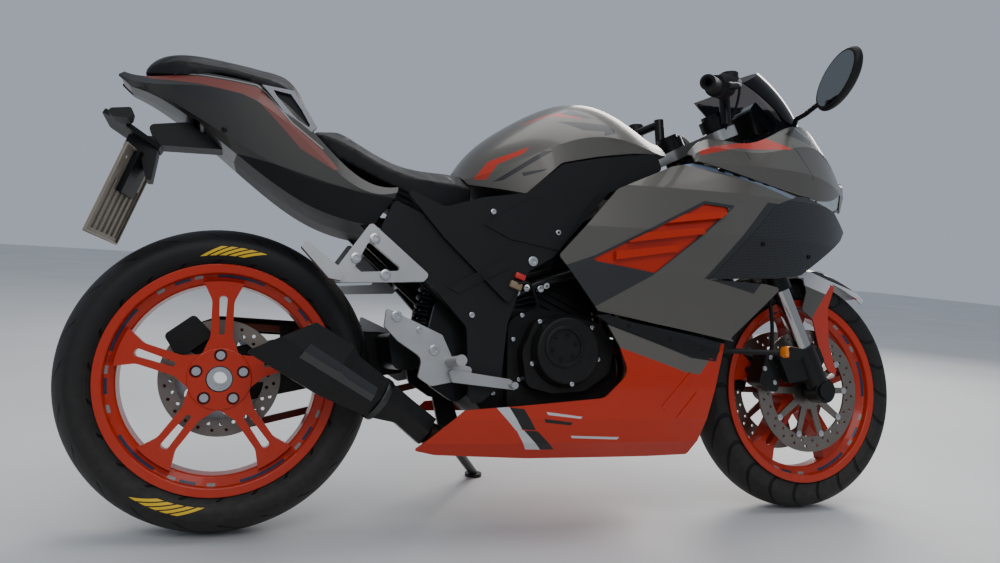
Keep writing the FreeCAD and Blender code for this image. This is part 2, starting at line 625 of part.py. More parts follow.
def make_shock():
    """The rear shock: damper and spring, its eye round the frame's cross tube and its foot on the arm."""
    low, top = V(*SHOCK_LOW), V(*SHOCK_TOP)
    along = (top - low).normalize()
    body = rod(low, top, 17)
    rings = [Part.makeTorus(27, 6.5, low + along * (34 + 19 * k), along) for k in range(6)]
    caps = [rod(low + along * 20, low + along * 28, 34), rod(low + along * 136, low + along * 144, 34)]
    sleeve = rod(low + along * 28, low + along * 136, 21)
    eye = disc(top.x, top.z, -19, 19, SHOCK_BOLT_R + 9)
    bore = disc(top.x, top.z, -40, 40, SHOCK_BOLT_R + FIT)
    add("rear_shock", biggest(fuse([body, sleeve, eye] + rings + caps).cut([bore, PARTS["swingarm"]])))


# Bodywork skins: rows are (z, half width) at each x station, top row first
FAIRING_X = (600, 760, 920, 1080, 1240, 1360, 1460)
FAIRING_Z = (850, 800, 735, 640, 545, 460, 390, 300)
FAIRING_PLAN = (0.79, 0.905, 0.98, 1.0, 0.93, 0.79, 0.56)
FAIRING_SECT = (158, 200, 232, 244, 236, 222, 212, 204)

PANEL_LINE = [(662, 576, 6), (790, 725, 30), (930, 790, 20), (995, 806, 6), (1134, 776, 0), (1257, 748, 0),
              (1183, 718, 0), (1000, 538, 0), (1150, 535, 10), (1195, 528, 6), (1066, 412, 4), (1080, 404, 2),
              (752, 462, 2)]
WING_LINE = [(1183, 718, 0), (1257, 748, 0), (1284, 752, 0), (1393, 727, 10), (1440, 684, 12), (1414, 659, 8),
             (1254, 561, 4), (1181, 549, 4), (1000, 538, 0)]
GILL_LINE = [(728, 568, 4), (990, 704, 6), (1058, 700, 6), (872, 546, 8)]
BELLY_LINE = [(376, 170, 4), (470, 253, 6), (585, 262, 30), (768, 279, 30), (822, 332, 30), (797, 388, 30),
              (758, 450, 4), (1000, 413, 0), (1070, 400, 2), (1046, 297, 10), (1004, 152, 8), (700, 146, 0),
              (420, 160, 0)]
OUTRIGGER_R = 7.0
# Places in side view where a panel is held to the frame: x, z, and the frame's half width there
PANEL_HOLDS = ((846, 582, 124.0), (1000, 700, 98.0))
BELLY_HOLDS = ((612, 256, ENGINE_HALF), (780, 262, ENGINE_HALF))


@kept
def fairing_solid(inset):
    """The half body under the right-hand fairing skin, set in from the outside by inset."""
    sections = []
    last = len(FAIRING_Z) - 1
    for x, scale in zip(FAIRING_X, FAIRING_PLAN):
        outer = [(x, -(w * scale - inset), z) for z, w in zip(FAIRING_Z, FAIRING_SECT)]
        if inset:
            outer[0] = (x, outer[0][1], FAIRING_Z[0] + 4)
            outer[last] = (x, outer[last][1], FAIRING_Z[last] - 4)
        around = [(x, -20, outer[0][2])] + outer + [(x, -20, outer[last][2])]
        sections.append(rounded(around, 0.0))
    return loft(sections)


def offset_slab(line, by, y0, y1):
    """A side outline moved outwards (or, with a negative value, inwards) all round, as a plate from y0 to y1."""
    wire = rounded([(point[0], 0, point[1]) for point in line], 0.0)
    made = Part.Face(wire).makeOffset2D(by, 2).extrude(V(0, y1 - y0, 0))
    made.translate(V(0, y0, 0))
    return made


def make_fairing():
    """Side panels, louvres, dark wings ahead of them, and the belly pan."""
    body, core, deep = fairing_solid(0.0), fairing_solid(SKIN), fairing_solid(2 * SKIN)
    shell = body.cut(core)
    panel = shell.common(slab(PANEL_LINE, -300, -40)).cut(slab(GILL_LINE, -300, -40))
    add("side_fairings", pair(panel))
    wing = shell.common(offset_slab(WING_LINE, -SEAM, -300, -40))
    add("wing_panels", pair(wing))
    backing = core.cut(deep).common(offset_slab(GILL_LINE, 8, -300, -40))
    blades = []
    for k in range(3):
        dx, dz = -62.0 * k, -41.0 * k
        long = 210 - 34 * k
        x1, z1 = 1046 + dx, 676 + dz
        blade = slab([(x1, z1, 5), (x1 - 8, z1 + 13, 4), (x1 - long, z1 + 8 - 0.10 * long, 0),
                      (x1 - long, z1 - 10 - 0.10 * long, 0)], -262, -150)
        blades.append(blade)
    relief = fairing_solid(-9.0).cut(core)
    louvre = fuse([backing] + [relief.common(b).common(slab(GILL_LINE, -300, -40)) for b in blades])
    add("louvres", pair(louvre))
    belly_body, belly_core = belly_solid(0.0), belly_solid(SKIN)
    belly = belly_body.cut(belly_core).common(slab(BELLY_LINE, -300, -SEAM / 2))
    stand_gap = Part.makeBox(260, 200, 110, V(340, 84, 120))
    add("belly_pan", Part.makeCompound([belly, mirrored(belly).cut(stand_gap)]))
    holds = [hold(x, z, y, deep).cut(PARTS["frame"]) for x, z, y in PANEL_HOLDS]
    holds = holds + [hold(x, z, y, belly_core) for x, z, y in BELLY_HOLDS]
    add("fairing_brackets", Part.makeCompound(holds + [mirrored(h) for h in holds]))


def hold(x, z, y, inner):
    """A round arm from the frame, at half width y, out to the inside of a panel."""
    return rod((x, -y, z), (x, -300, z), OUTRIGGER_R).common(inner)


BELLY_X = (360, 480, 640, 800, 960, 1090)
BELLY_SCALE = (0.84, 0.93, 0.98, 1.0, 0.96, 0.86)
BELLY_Z = (470, 390, 300, 235, 185, 150, 146)
BELLY_SECT = (213, 212, 204, 196, 176, 140, 0.5)


@kept
def belly_solid(inset):
    """The right half of the belly pan's body, closed underneath to the middle."""
    sections = []
    for x, scale in zip(BELLY_X, BELLY_SCALE):
        rows = [(x, -max(w * scale - inset, 0.5), z + inset * (k > 3))
                for k, (z, w) in enumerate(zip(BELLY_Z, BELLY_SECT))]
        top = BELLY_Z[0] + 4 * bool(inset)
        rows[0] = (x, rows[0][1], top)
        rows[-1] = (x, 0, rows[-1][2])
        sections.append(rounded([(x, 0, top)] + rows, 0.0))
    return loft(sections)


# Upper cowl: half sections listed at each x as (y, z), from the middle of the top round to the underside
COWL_SECTIONS = (
    (985, ((0, 836), (170, 832), (196, 822), (206, 806), (203, 792), (0, 788))),
    (1110, ((0, 884), (170, 872), (204, 842), (216, 806), (214, 780), (0, 770))),
    (1235, ((0, 930), (146, 908), (188, 862), (214, 806), (208, 758), (0, 740))),
    (1347, ((0, 968), (112, 950), (158, 884), (188, 800), (182, 738), (0, 700))),
    (1430, ((0, 922), (80, 908), (118, 858), (140, 790), (132, 726), (0, 690))),
    (1532, ((0, 846), (30, 842), (46, 830), (54, 800), (48, 760), (0, 740))),
)
COCKPIT_LINE = [(960, -172, 0), (1110, -166, 0), (1235, -142, 10), (1335, -104, 20), (1404, -60, 20), (1404, 60, 20),
                (1335, 104, 20), (1235, 142, 10), (1110, 166, 0), (960, 172, 0)]
COWL_LINE = [(930, 792, 0), (995, 806, 6), (1134, 776, 0), (1257, 748, 0), (1284, 752, 0), (1393, 727, 10),
             (1473, 742, 4), (1530, 832, 4), (1560, 846, 0), (1560, 1060, 0), (930, 1060, 0)]
# The lamps' lenses lie just behind the nose's open, sloping face, on either side of the middle
LAMP_LINE = [(1462, 744), (1520, 835), (1512, 840), (1454, 749)]
LAMP_INNER = 6.0


@kept
def cowl_solid(inset):
    """The nose as one closed solid, drawn in by inset."""
    sections = []
    for x, half in COWL_SECTIONS:
        cz = sum(p[1] for p in half) / len(half)
        ring = []
        for y, z in half:
            d = math.hypot(y, z - cz)
            f = (d - inset * 1.15) / d
            ring.append((y * f, cz + (z - cz) * f))
        tip = inset if x > 1500 else 0.0
        right = [(x - tip, -y, z) for y, z in ring]
        left = [(x - tip, y, z) for y, z in reversed(ring[1:-1])]
        sections.append(rounded(right + left, 0.0))
    return loft(sections)


MIRROR_HALF = (26.0, 80.0, 44.0)
MIRROR_TURN = 38.0
MIRROR_AT = (1272.0, -334.0, 990.0)
STAY_FROM = 590.0
STAY_TUBE_R = 12.0
STAY_CROSS = (1290.0, 878.0)


def make_cowl():
    """Upper cowl shell open to the cockpit and behind, with lamps, screen, mirrors, stay and instrument."""
    body, core = cowl_solid(0.0), cowl_solid(SKIN)
    shell = body.cut(core).common(offset_slab(COWL_LINE, -SEAM, -260, 260))
    cockpit = plan(COCKPIT_LINE, 790, 1000)
    cowl = shell.cut([cockpit, fairing_solid(0.0), mirrored(fairing_solid(0.0))])
    add("upper_cowl", cowl)
    add("headlamps", pair(slab(LAMP_LINE, -120, -LAMP_INNER).common(cowl_solid(SKIN + FIT))))
    add("windscreen", make_screen().cut(body))
    stalk = bent([(1336, -96, 940), (1318, -130, 962), (1290, -200, 952), (1276, -286, 962)], 40, 6)
    stalk = biggest(stalk.cut([body, PARTS["windscreen"]]))
    head = Part.makeSphere(1.0)
    matrix = FreeCAD.Matrix()
    matrix.scale(V(*MIRROR_HALF))
    head = head.transformGeometry(matrix)
    head.rotate(V(0, 0, 0), V(1, 0, 0), -MIRROR_TURN)
    head.translate(V(*MIRROR_AT))
    add("mirrors", pair(fuse([stalk, head])))
    start = STEER_POINT + UP_FORK * STAY_FROM
    cx, cz = STAY_CROSS
    main = bent([(start.x, 0, start.z), (1215, 0, 856), (cx, 0, cz)], 60, STAY_TUBE_R)
    bar = rod((cx, -260, cz), (cx, 260, cz), 9).common(core)
    post = rod((cx, 0, cz), (cx - 22, 0, cz + 62), 9)
    head_tube = rod(STEER_POINT + UP_FORK * 500, STEER_POINT + UP_FORK * 690, HEAD_TUBE_R)
    add("fairing_stay", fuse([main, bar, post]).cut(head_tube))
    add("instrument", slab([(1222, 992, 6), (1238, 1014, 6), (1300, 962, 6), (1284, 936, 6)], -78, 78)
        .cut(PARTS["fairing_stay"]))


# Windscreen sections from its base to its top: middle (x, z), side edge (x, half width, z)
SCREEN_SECTIONS = (
    ((1412, 918), (1312, 112, 946)),
    ((1366, 1014), (1250, 116, 1000)),
    ((1280, 1103), (1172, 100, 1056)),
)
SCREEN_T = 4.0


def make_screen():
    """The windscreen: a thin shell bowed across the bike, in smooth sections from base to top."""
    sections = []
    for (mx, mz), (sx, sy, sz) in SCREEN_SECTIONS:
        a, m, b = V(sx, -sy, sz), V(mx, 0, mz), V(sx, sy, sz)
        back = (V(sx, 0, sz) - m).normalize() * SCREEN_T
        a2, m2, b2 = V(sx, -sy + SCREEN_T, sz), m + back, V(sx, sy - SCREEN_T, sz)
        sections.append(Part.Wire([Part.Arc(a, m, b).toShape(), Part.LineSegment(b, b2).toShape(),
                                   Part.Arc(b2, m2, a2).toShape(), Part.LineSegment(a2, a).toShape()]))
    return sound(loft(sections))


# Tank, seats and tail: smooth lofts of arched sections
def arched(x, z_low, w_low, z_side, w_side, z_top):
    """A cross-section at x with sloping sides and an arched top."""
    a, b = V(x, -w_low, z_low), V(x, -w_side, z_side)
    c, d = V(x, w_side, z_side), V(x, w_low, z_low)
    return Part.Wire([Part.LineSegment(d, a).toShape(), Part.LineSegment(a, b).toShape(),
                      Part.Arc(b, V(x, 0, z_top), c).toShape(), Part.LineSegment(c, d).toShape()])


TANK_ROWS = (
    # x, low z, low half width, side z, side half width, top z
    (476, 700, 66, 745, 74, 775),
    (560, 690, 120, 770, 128, 868),
    (650, 690, 158, 812, 160, 926),
    (750, 690, 172, 846, 168, 962),
    (850, 690, 168, 846, 160, 944),
    (965, 690, 120, 836, 118, 892),
)
SEAT_ROWS = (
    (160, 780, 92, 812, 96, 834),
    (230, 748, 112, 788, 118, 822),
    (330, 700, 128, 738, 134, 772),
    (420, 668, 128, 724, 134, 762),
    (500, 690, 96, 722, 98, 756),
)
PILLION_ROWS = (
    (-174, 898, 34, 912, 38, 924),
    (-159, 890, 50, 922, 56, 944),
    (-99, 882, 82, 930, 88, 961),
    (-21, 874, 94, 926, 100, 955),
    (61, 862, 100, 912, 106, 945),
    (104, 834, 98, 896, 102, 935),
    (135, 806, 92, 858, 96, 895),
    (158, 780, 84, 812, 88, 842),
)
TANK_SIDE_LINE = [(470, 760, 0), (492, 735, 6), (606, 713, 6), (680, 783, 30), (766, 804, 60), (850, 821, 0),
                  (965, 836, 0), (970, 1000, 0), (470, 1000, 0)]
TANK_BELLY_HALF = 80.0
TANK_FRONT = 960.0


def make_tank_and_seats():
    """Fuel tank with its narrower base on the frame, rider's seat and passenger pad."""
    body = loft([arched(*row) for row in TANK_ROWS])
    base_z = TANK_REST[1] + TANK_REST_R + FIT
    base = Part.makeBox(TANK_FRONT - 500, 2 * TANK_BELLY_HALF, 300, V(500, -TANK_BELLY_HALF, base_z))
    upper = slab(TANK_SIDE_LINE, -220, 220)
    tank = body.common(fuse([upper, base])).cut(Part.makeBox(40, 500, 400, V(TANK_FRONT, -250, 650)))
    add("fuel_tank", tank)
    seat = loft([arched(*row) for row in SEAT_ROWS])
    rest_room = rod((SEAT_REST[0], -130, SEAT_REST[1]), (SEAT_REST[0], 130, SEAT_REST[1]), SEAT_REST_R + FIT)
    tail_room = tail_solid(-FIT)
    add("rider_seat", biggest(seat.cut([tank, rest_room, tail_room])))
    add("passenger_seat", loft([arched(*row) for row in PILLION_ROWS]).cut(tail_room))


TAIL_ROWS = (
    # x, half section from the top middle round to the bottom middle as (y, z)
    (-220, ((0, 921), (26, 919), (34, 906), (30, 894), (24, 886), (0, 884))),
    (-80, ((0, 913), (82, 909), (100, 880), (88, 828), (70, 822), (0, 820))),
    (60, ((0, 890), (112, 886), (126, 846), (118, 745), (92, 716), (0, 713))),
    (180, ((0, 790), (124, 780), (136, 745), (134, 700), (112, 646), (0, 642))),
    (330, ((0, 712), (128, 706), (137, 694), (136, 680), (130, 618), (0, 614))),
)
TAIL_SIDE_LINE = [(-196, 925), (-80, 916), (60, 893), (120, 852), (160, 812), (332, 706), (322, 680), (252, 686),
                  (184, 702), (4, 756), (-68, 818), (-178, 868), (-222, 905)]
TAIL_TRAY_LINE = [(-178, 868, 0), (-68, 818, 0), (4, 756, 0), (184, 702, 0), (252, 686, 0), (322, 680, 0),
                  (270, 604, 6), (228, 604, 6), (118, 660, 20), (30, 706, 10), (-40, 788, 20), (-150, 834, 6)]


@kept
def tail_solid(inset):
    """The tail as one closed solid, drawn in by inset."""
    sections = []
    for x, half in TAIL_ROWS:
        cz = sum(p[1] for p in half) / len(half)
        ring = []
        for y, z in half:
            d = math.hypot(y, z - cz)
            f = max(d - inset * 1.15, 0.4 * d) / d
            ring.append((y * f, cz + (z - cz) * f))
        right = [(x, -y, z) for y, z in ring]
        left = [(x, y, z) for y, z in reversed(ring[1:-1])]
        sections.append(rounded(right + left, 0.0))
    return loft(sections)


PLATE_TILT = 21.0
PLATE_YAW = -9.6
PLATE_SIZE = (2.0, 190.0, 188.0)
PLATE_TOP = (-174.0, 757.0)


def make_tail():
    """Tail panels, under tray, lamp, plate hanger and the blank plate."""
    body, core = tail_solid(0.0), tail_solid(SKIN)
    shell = body.cut(core)
    add("tail_panels", pair(shell.common(slab(TAIL_SIDE_LINE, -300, -SEAM / 2))))
    tray = shell.common(offset_slab(TAIL_TRAY_LINE, -FIT, -200, 200))
    add("tail_undertray", biggest(tray.cut(PARTS["frame"])))
    lamp = slab([(-215, 901), (-181, 872), (-176, 879), (-209, 909)], -60, 60)
    add("tail_lamp", lamp.common(tail_solid(SKIN + FIT)))
    arm = slab([(40, 820, 8), (10, 776, 8), (-137, 772, 8), (-166, 812, 10), (-60, 830, 20)], -26, 26)
    wing = plan([(6, -26, 0), (-80, -70, 12), (-112, -56, 10), (-112, 56, 10), (-80, 70, 12), (6, 26, 0)], -5, 5)
    wing.rotate(V(0, 0, 0), V(0, 1, 0), 29)
    wing.translate(V(-142, 0, 770))
    bracket = slab([(-137, 790, 0), (-196, 790, 0), (-206, 764, 6), (-196, 752, 4), (-172, 748, 0), (-160, 700, 0),
                    (-150, 700, 0)], -22, 22)
    plate = Part.makeBox(*PLATE_SIZE, V(-PLATE_SIZE[0], -PLATE_SIZE[1] / 2, -PLATE_SIZE[2]))
    for y in (-60, 60):
        plate = plate.cut(rod((-10, y, -24), (10, y, -24), 4))
    plate.rotate(V(0, 0, 0), V(0, 1, 0), PLATE_TILT)
    plate.rotate(V(0, 0, 0), V(0, 0, 1), PLATE_YAW)
    plate.translate(V(PLATE_TOP[0], 0, PLATE_TOP[1]))
    back = slab([(0, 0), (12, 0), (12, -90), (0, -90)], -40, 40)
    back.rotate(V(0, 0, 0), V(0, 1, 0), PLATE_TILT)
    back.rotate(V(0, 0, 0), V(0, 0, 1), PLATE_YAW)
    back.translate(V(PLATE_TOP[0], 0, PLATE_TOP[1]))
    add("plate_hanger", fuse([arm, wing, bracket, back]).cut([body, plate]))
    add("number_plate", plate)


def make_indicators():
    """Front and rear turn signals on short stems."""
    stem = rod((1040, -165, 386), (1186, -250, 382), 6)
    head = slab([(1172, 396, 6), (1206, 392, 6), (1212, 378, 4), (1200, 368, 6), (1176, 370, 6)], -276, -246)
    front = biggest(fuse([stem, head]).cut(PARTS["belly_pan"]))
    rear_stem = rod((-196, -40, 800), (-196, -104, 800), 6)
    rear_head = slab([(-176, 812, 6), (-214, 806, 6), (-220, 798, 4), (-210, 790, 6), (-180, 790, 6)], -142, -100)
    rear = fuse([rear_stem, rear_head]).cut(PARTS["plate_hanger"])
    add("indicators", pair(Part.makeCompound([front, rear])))


def make_side_covers():
    """Dark trim panels that hide the frame between seat, tank and engine."""
    upper = slab([(330, 700, 6), (420, 664, 30), (500, 690, 20), (600, 708, 6), (680, 778, 20), (766, 799, 40),
                  (905, 822, 20), (920, 786, 10), (786, 722, 30), (658, 573, 6), (604, 540, 20), (560, 470, 10),
                  (420, 600, 10)], -174, -160)
    lower = slab([(318, 672, 8), (415, 632, 6), (560, 560, 4), (600, 536, 10), (562, 430, 10), (548, 300, 10),
                  (506, 266, 20), (482, 266, 20), (474, 420, 20), (400, 500, 20), (290, 610, 20)], -164, -150)
    cover = fuse([upper, lower]).cut([PARTS["fuel_tank"], PARTS["rider_seat"], PARTS["side_fairings"],
                                      tail_solid(0.0)])
    holds = [rod((700, -SPAR_Y - 6, 604), (700, -160, 604), 8), rod((520, -PLATE_Y1, 530), (520, -150, 530), 8)]
    add("frame_covers", pair(fuse([cover] + holds).cut(PARTS["frame"])))


# Exhaust
PORT_Y = 52.0
PIPE_R = 18.0
RUN_Z = 186.0


def make_exhaust():
    """Header pipes, collector and the six-sided short silencer."""
    port = cylinder_block(124, 124, 68, 68)[0]
    pipes = []
    for y in (-PORT_Y, PORT_Y):
        ahead = (port[0] + 46, port[1] - 20)
        pipes.append(bent([(port[0], y, port[1]), (ahead[0], y, ahead[1]), (896, y * 0.9, 330), (850, y * 0.8, RUN_Z),
                           (690, y * 0.5, RUN_Z)], 60, PIPE_R))
    link = bent([(720, 0, RUN_Z), (560, -30, RUN_Z), (448, -92, RUN_Z), (398, -126, 208)], 120, 24)
    add("header_pipes", fuse(pipes + [link]).cut(PARTS["cylinder_head"]))
    axis_sections = (
        # x, z of the middle, half width, half height, y of the middle
        (404, 208, 31, 30, -124),
        (350, 250, 33, 28, -138),
        (298, 274, 42, 41, -148),
        (228, 314, 48, 50, -156),
        (213, 328, 52, 57, -158),
        (81, 406, 52, 57, -160),
    )
    wires = []
    slope = math.radians(34)
    ux, uz = math.sin(slope), math.cos(slope)
    for x, z, w, h, y in axis_sections:
        ring = [(-1.0, 0.0), (-0.55, 1.0), (0.55, 1.0), (1.0, 0.0), (0.55, -1.0), (-0.55, -1.0)]
        wires.append(Part.makePolygon([V(x + ux * v * h, y + w * u, z + uz * v * h) for u, v in ring + ring[:1]]))
    body = loft(wires, True)
    trim = slab([(208, 436), (27, 353), (-20, 440), (100, 560)], -260, -60)
    outlet = rod((60, -160, 432), (190, -160, 344), 24)
    add("silencer", body.cut([trim, outlet, PARTS["header_pipes"]]))


# Front end
TUBE_LOW = 268.0
TUBE_TOP = TOP_CLAMP_AT + CLAMP_T / 2 + 42.0
STANCHION_LOW = 96.0
FOOT_BOSS_HALF = 20.0
GRIP_END = (912.0, -341.0, 926.0)
BAR_ROOT = (1098.0, -142.0, 1004.0)
RISER_R = 13.0
GRIP_LENGTH = 122.0
GRIP_R = 16.5
BAR_R = 11.0
RING_HALF = 14.0
RING_ABOVE = 18.0
RING_AT = TOP_CLAMP_AT + CLAMP_T / 2 + RING_ABOVE
RING_MIDDLE = on_leg(RING_AT, 0, -FORK_HALF)
BAR_DIR = (V(*GRIP_END) - V(*BAR_ROOT)).normalize()
BAR_END_R = 7.5
BAR_END_DEPTH = 50.0


def make_fork():
    """Fork legs, clamps with the steering stem, and the axle with its spacers."""
    legs, tubes, feet = [], [], []
    for side in (-1, 1):
        y = side * FORK_HALF
        tubes.append(rod(on_leg(TUBE_LOW, 0, y), on_leg(TUBE_TOP, 0, y), OUTER_TUBE_R))
        legs.append(rod(on_leg(STANCHION_LOW, 0, y), on_leg(TUBE_LOW, 0, y), STANCHION_R))
        foot = rod(on_leg(8, 0, y), on_leg(116, 0, y), STANCHION_R + 6)
        boss = disc(FRONT_AXLE.x, FRONT_AXLE.z, y - FOOT_BOSS_HALF, y + FOOT_BOSS_HALF, 30)
        inner = min(abs(y - 12), abs(y + 12))
        rear_lug = leg_turned(slab([(-84, 56, 8), (-84, 128, 8), (-18, 108, 4), (-18, 40, 4)],
                                   min(side * inner, side * (inner + 22)), max(side * inner, side * (inner + 22))))
        front_lug = leg_turned(slab([(46, 60, 8), (46, 96, 8), (12, 112, 4), (12, 40, 4)],
                                    min(side * (inner + 2), side * (inner + 14)),
                                    max(side * (inner + 2), side * (inner + 14))))
        bore = disc(FRONT_AXLE.x, FRONT_AXLE.z, y - 30, y + 30, AXLE_R + FIT)
        socket = rod(on_leg(STANCHION_LOW, 0, y), on_leg(140, 0, y), STANCHION_R + FIT)
        spacer_room = disc(FRONT_AXLE.x, FRONT_AXLE.z, FORK_HALF - 40, FORK_HALF - FOOT_BOSS_HALF, SPACER_R + 1)
        nut_room = disc(FRONT_AXLE.x, FRONT_AXLE.z, FORK_HALF + FOOT_BOSS_HALF, FORK_HALF + 40, AXLE_R + 8)
        rooms = [mirrored(room) if side < 0 else room for room in (spacer_room, nut_room)]
        feet.append(fuse([foot, boss, rear_lug, front_lug]).cut([bore, socket] + rooms))
    add("fork_outer_tubes", Part.makeCompound(tubes))
    add("fork_stanchions", Part.makeCompound(legs))
    add("fork_feet", Part.makeCompound(feet))
    reach = FORK_HALF + FOOT_BOSS_HALF + 6
    shaft = disc(FRONT_AXLE.x, FRONT_AXLE.z, -reach, reach, AXLE_R)
    spacer = disc(FRONT_AXLE.x, FRONT_AXLE.z, FRONT_HUB_HALF + TURN, FORK_HALF - FOOT_BOSS_HALF - FIT, SPACER_R)
    nut = disc(FRONT_AXLE.x, FRONT_AXLE.z, FORK_HALF + FOOT_BOSS_HALF + FIT, reach, AXLE_R + 6)
    add("front_axle", fuse([shaft, spacer, mirrored(spacer), nut, mirrored(nut)]))
    stem = rod(STEER_POINT + UP_FORK * (LOWER_CLAMP_AT - 6), STEER_POINT + UP_FORK * (TOP_CLAMP_AT - CLAMP_T / 2),
               STEM_R)
    for name, at in (("lower_clamp", LOWER_CLAMP_AT), ("top_clamp", TOP_CLAMP_AT)):
        half = FORK_HALF + OUTER_TUBE_R + 10
        body = plan([(-OUTER_TUBE_R - 8, -half, 20), (OUTER_TUBE_R + 8, -half, 20), (16, 0, 60),
                     (OUTER_TUBE_R + 8, half, 20), (-OUTER_TUBE_R - 8, half, 20), (-FORK_OFFSET - 34, 0, 60)],
                    at - CLAMP_T / 2, at + CLAMP_T / 2)
        holes = [Part.makeCylinder(OUTER_TUBE_R + FIT, 80, V(0, s * FORK_HALF, at - 40)) for s in (-1, 1)]
        clamp = leg_turned(body.cut(holes))
        add(name, fuse([clamp, stem]) if at == LOWER_CLAMP_AT else clamp)


def make_bars():
    """Clip-on bars with grips, switch pods, reservoirs and levers."""
    low, high = RING_AT - RING_HALF, RING_AT + RING_HALF
    root, end = V(*BAR_ROOT), V(*GRIP_END)
    ring = rod(on_leg(low, 0, -FORK_HALF), on_leg(high, 0, -FORK_HALF), OUTER_TUBE_R + 9)
    bore = rod(on_leg(low - 5, 0, -FORK_HALF), on_leg(high + 5, 0, -FORK_HALF), OUTER_TUBE_R + FIT)
    bar = rod(root, end, BAR_R)
    riser = rod((RING_MIDDLE.x, root.y, RING_MIDDLE.z - RING_HALF), (root.x, root.y, root.z + BAR_R), RISER_R)
    end_hole = rod(end - BAR_DIR * BAR_END_DEPTH, end + BAR_DIR * 5, BAR_END_R)
    add("clip_on_bars", pair(fuse([ring, riser, bar]).cut([bore, end_hole])))
    inside = rod(root, end + BAR_DIR * 20, BAR_R + FIT)
    grip = rod(end - BAR_DIR * GRIP_LENGTH, end + BAR_DIR * 8, GRIP_R).cut(inside)
    flange = rod(end - BAR_DIR * GRIP_LENGTH, end - BAR_DIR * (GRIP_LENGTH - 6), GRIP_R + 5).cut(inside)
    add("grips", pair(fuse([grip, flange])))
    pod = rod(end - BAR_DIR * (GRIP_LENGTH + 40), end - BAR_DIR * (GRIP_LENGTH + 1), 24)
    perch = rod(end - BAR_DIR * (GRIP_LENGTH + 72), end - BAR_DIR * (GRIP_LENGTH + 42), 17)
    cylinder = bent([tuple(end - BAR_DIR * (GRIP_LENGTH + 56) + V(10, 0, 4)),
                     tuple(end - BAR_DIR * (GRIP_LENGTH + 44) + V(52, -6, 10)),
                     tuple(end - BAR_DIR * 40 + V(62, -6, 4)), tuple(end + BAR_DIR * 4 + V(46, -4, 0))], 30, 6)
    pot = Part.makeCylinder(20, 34, end - BAR_DIR * (GRIP_LENGTH + 58) + V(36, 6, 6))
    add("bar_controls", pair(Part.makeCompound([fuse([pod, perch, cylinder, pot]).cut([inside, ring, bore])])))


def make_front_guard():
    """The front mudguard: a curved strip over the tyre with side plates down to the fork feet."""
    r0, half, t = FRONT_TYRE_R + GUARD_GAP, FRONT_TYRE_W / 2 + 15, 3.5
    arc = lathe([(r0 - 26, -half, 0), (r0 + t - 14, -half, 12), (r0 + t, -half + 30, 20), (r0 + t, half - 30, 20),
                 (r0 + t - 14, half, 12), (r0 - 26, half, 0), (r0 - 26, half - t, 0), (r0 - 14, half - t, 12),
                 (r0, half - 31, 20), (r0, -half + 31, 20), (r0 - 14, -half + t, 12), (r0 - 26, -half + t, 0)],
                FRONT_AXLE.x, FRONT_AXLE.z)
    x, z = FRONT_AXLE.x, FRONT_AXLE.z
    arc = arc.common(slab([(x - 10, z), (x - 160, z + 220), (x - 120, z + 380), (x + 60, z + 420),
                           (x + 320, z + 300), (x + 184, z + 236), (x + 100, z + 120)], -120, 120))
    side = slab([(1391, 541, 10), (1380, 588, 20), (1440, 598, 20), (1482, 556, 10), (1458, 500, 30), (1457, 409, 40),
                 (1481, 329, 6), (1452, 343, 6), (1428, 388, 30), (1409, 470, 12), (1376, 495, 8)], -half, -half + t)
    tab_at = FRONT_AXLE + UP_FORK * 78 + FRONT_OF_FORK * 38
    tab = rod((tab_at.x, -half, tab_at.z), (tab_at.x, -FORK_HALF + 10 + FIT, tab_at.z), 7)
    ear = slab([(1428, 400, 0), (1462, 372, 0), (tab_at.x + 8, tab_at.z - 10, 6), (tab_at.x - 8, tab_at.z, 6)],
               -half, -half + t)
    guard = fuse([arc, side, ear, tab, mirrored(side), mirrored(ear), mirrored(tab)])
    add("front_mudguard", guard.cut([PARTS["fork_feet"], PARTS["fork_outer_tubes"]]))


GUARD_GAP = 16.0
FRONT_CALIPER_TURN = 160.0
PAD_GAP = 2.5


def caliper(axle, y0, y1, disc_y, radius, turn, length):
    """A caliper body from y0 to y1 that straddles the disc's rim at the given angle."""
    c, s = math.cos(math.radians(turn)), math.sin(math.radians(turn))
    out = []
    for u, v in ((radius - 42, -length), (radius + 16, -length + 6), (radius + 16, length - 6), (radius - 42, length)):
        out.append((axle.x + u * c - v * s, axle.z + u * s + v * c, 10))
    gap = disc(axle.x, axle.z, disc_y - DISC_T / 2 - PAD_GAP, disc_y + DISC_T / 2 + PAD_GAP, radius + 4)
    return slab(out, y0, y1).cut(gap)


def make_calipers():
    """Front calipers on the fork lugs and the rear caliper on the swingarm's lug."""
    front = caliper(FRONT_AXLE, -88.0, -38.0, -FRONT_DISC_Y, FRONT_DISC_R, FRONT_CALIPER_TURN, 48)
    add("front_calipers", pair(front))
    rear = caliper(REAR_AXLE, REAR_DISC_Y - CALIPER_HALF, REAR_DISC_Y + CALIPER_HALF, REAR_DISC_Y, REAR_DISC_R,
                   CALIPER_TURN, 42)
    add("rear_caliper", rear)


def make_radiator():
    """Radiator core between side tanks, hung from the frame's lower tubes."""
    core = Part.makeBox(26, 270, 214, V(0, -135, 0))
    tanks = [Part.makeBox(34, 26, 222, V(-4, y, -4)) for y in (-161, 135)]
    made = fuse([core] + tanks)
    made.rotate(V(0, 0, 0), V(0, 1, 0), 10)
    made.translate(V(990, 0, 368))
    arms = [rod((1030, y, 578), (1010, y, 712), 6) for y in (-92, 92)]
    made = fuse([made] + arms)
    above = [rod((1010, y, 706), (1010, y, 760), 16) for y in (-92, 92)]
    add("radiator", made.cut([PARTS["frame"]] + above))


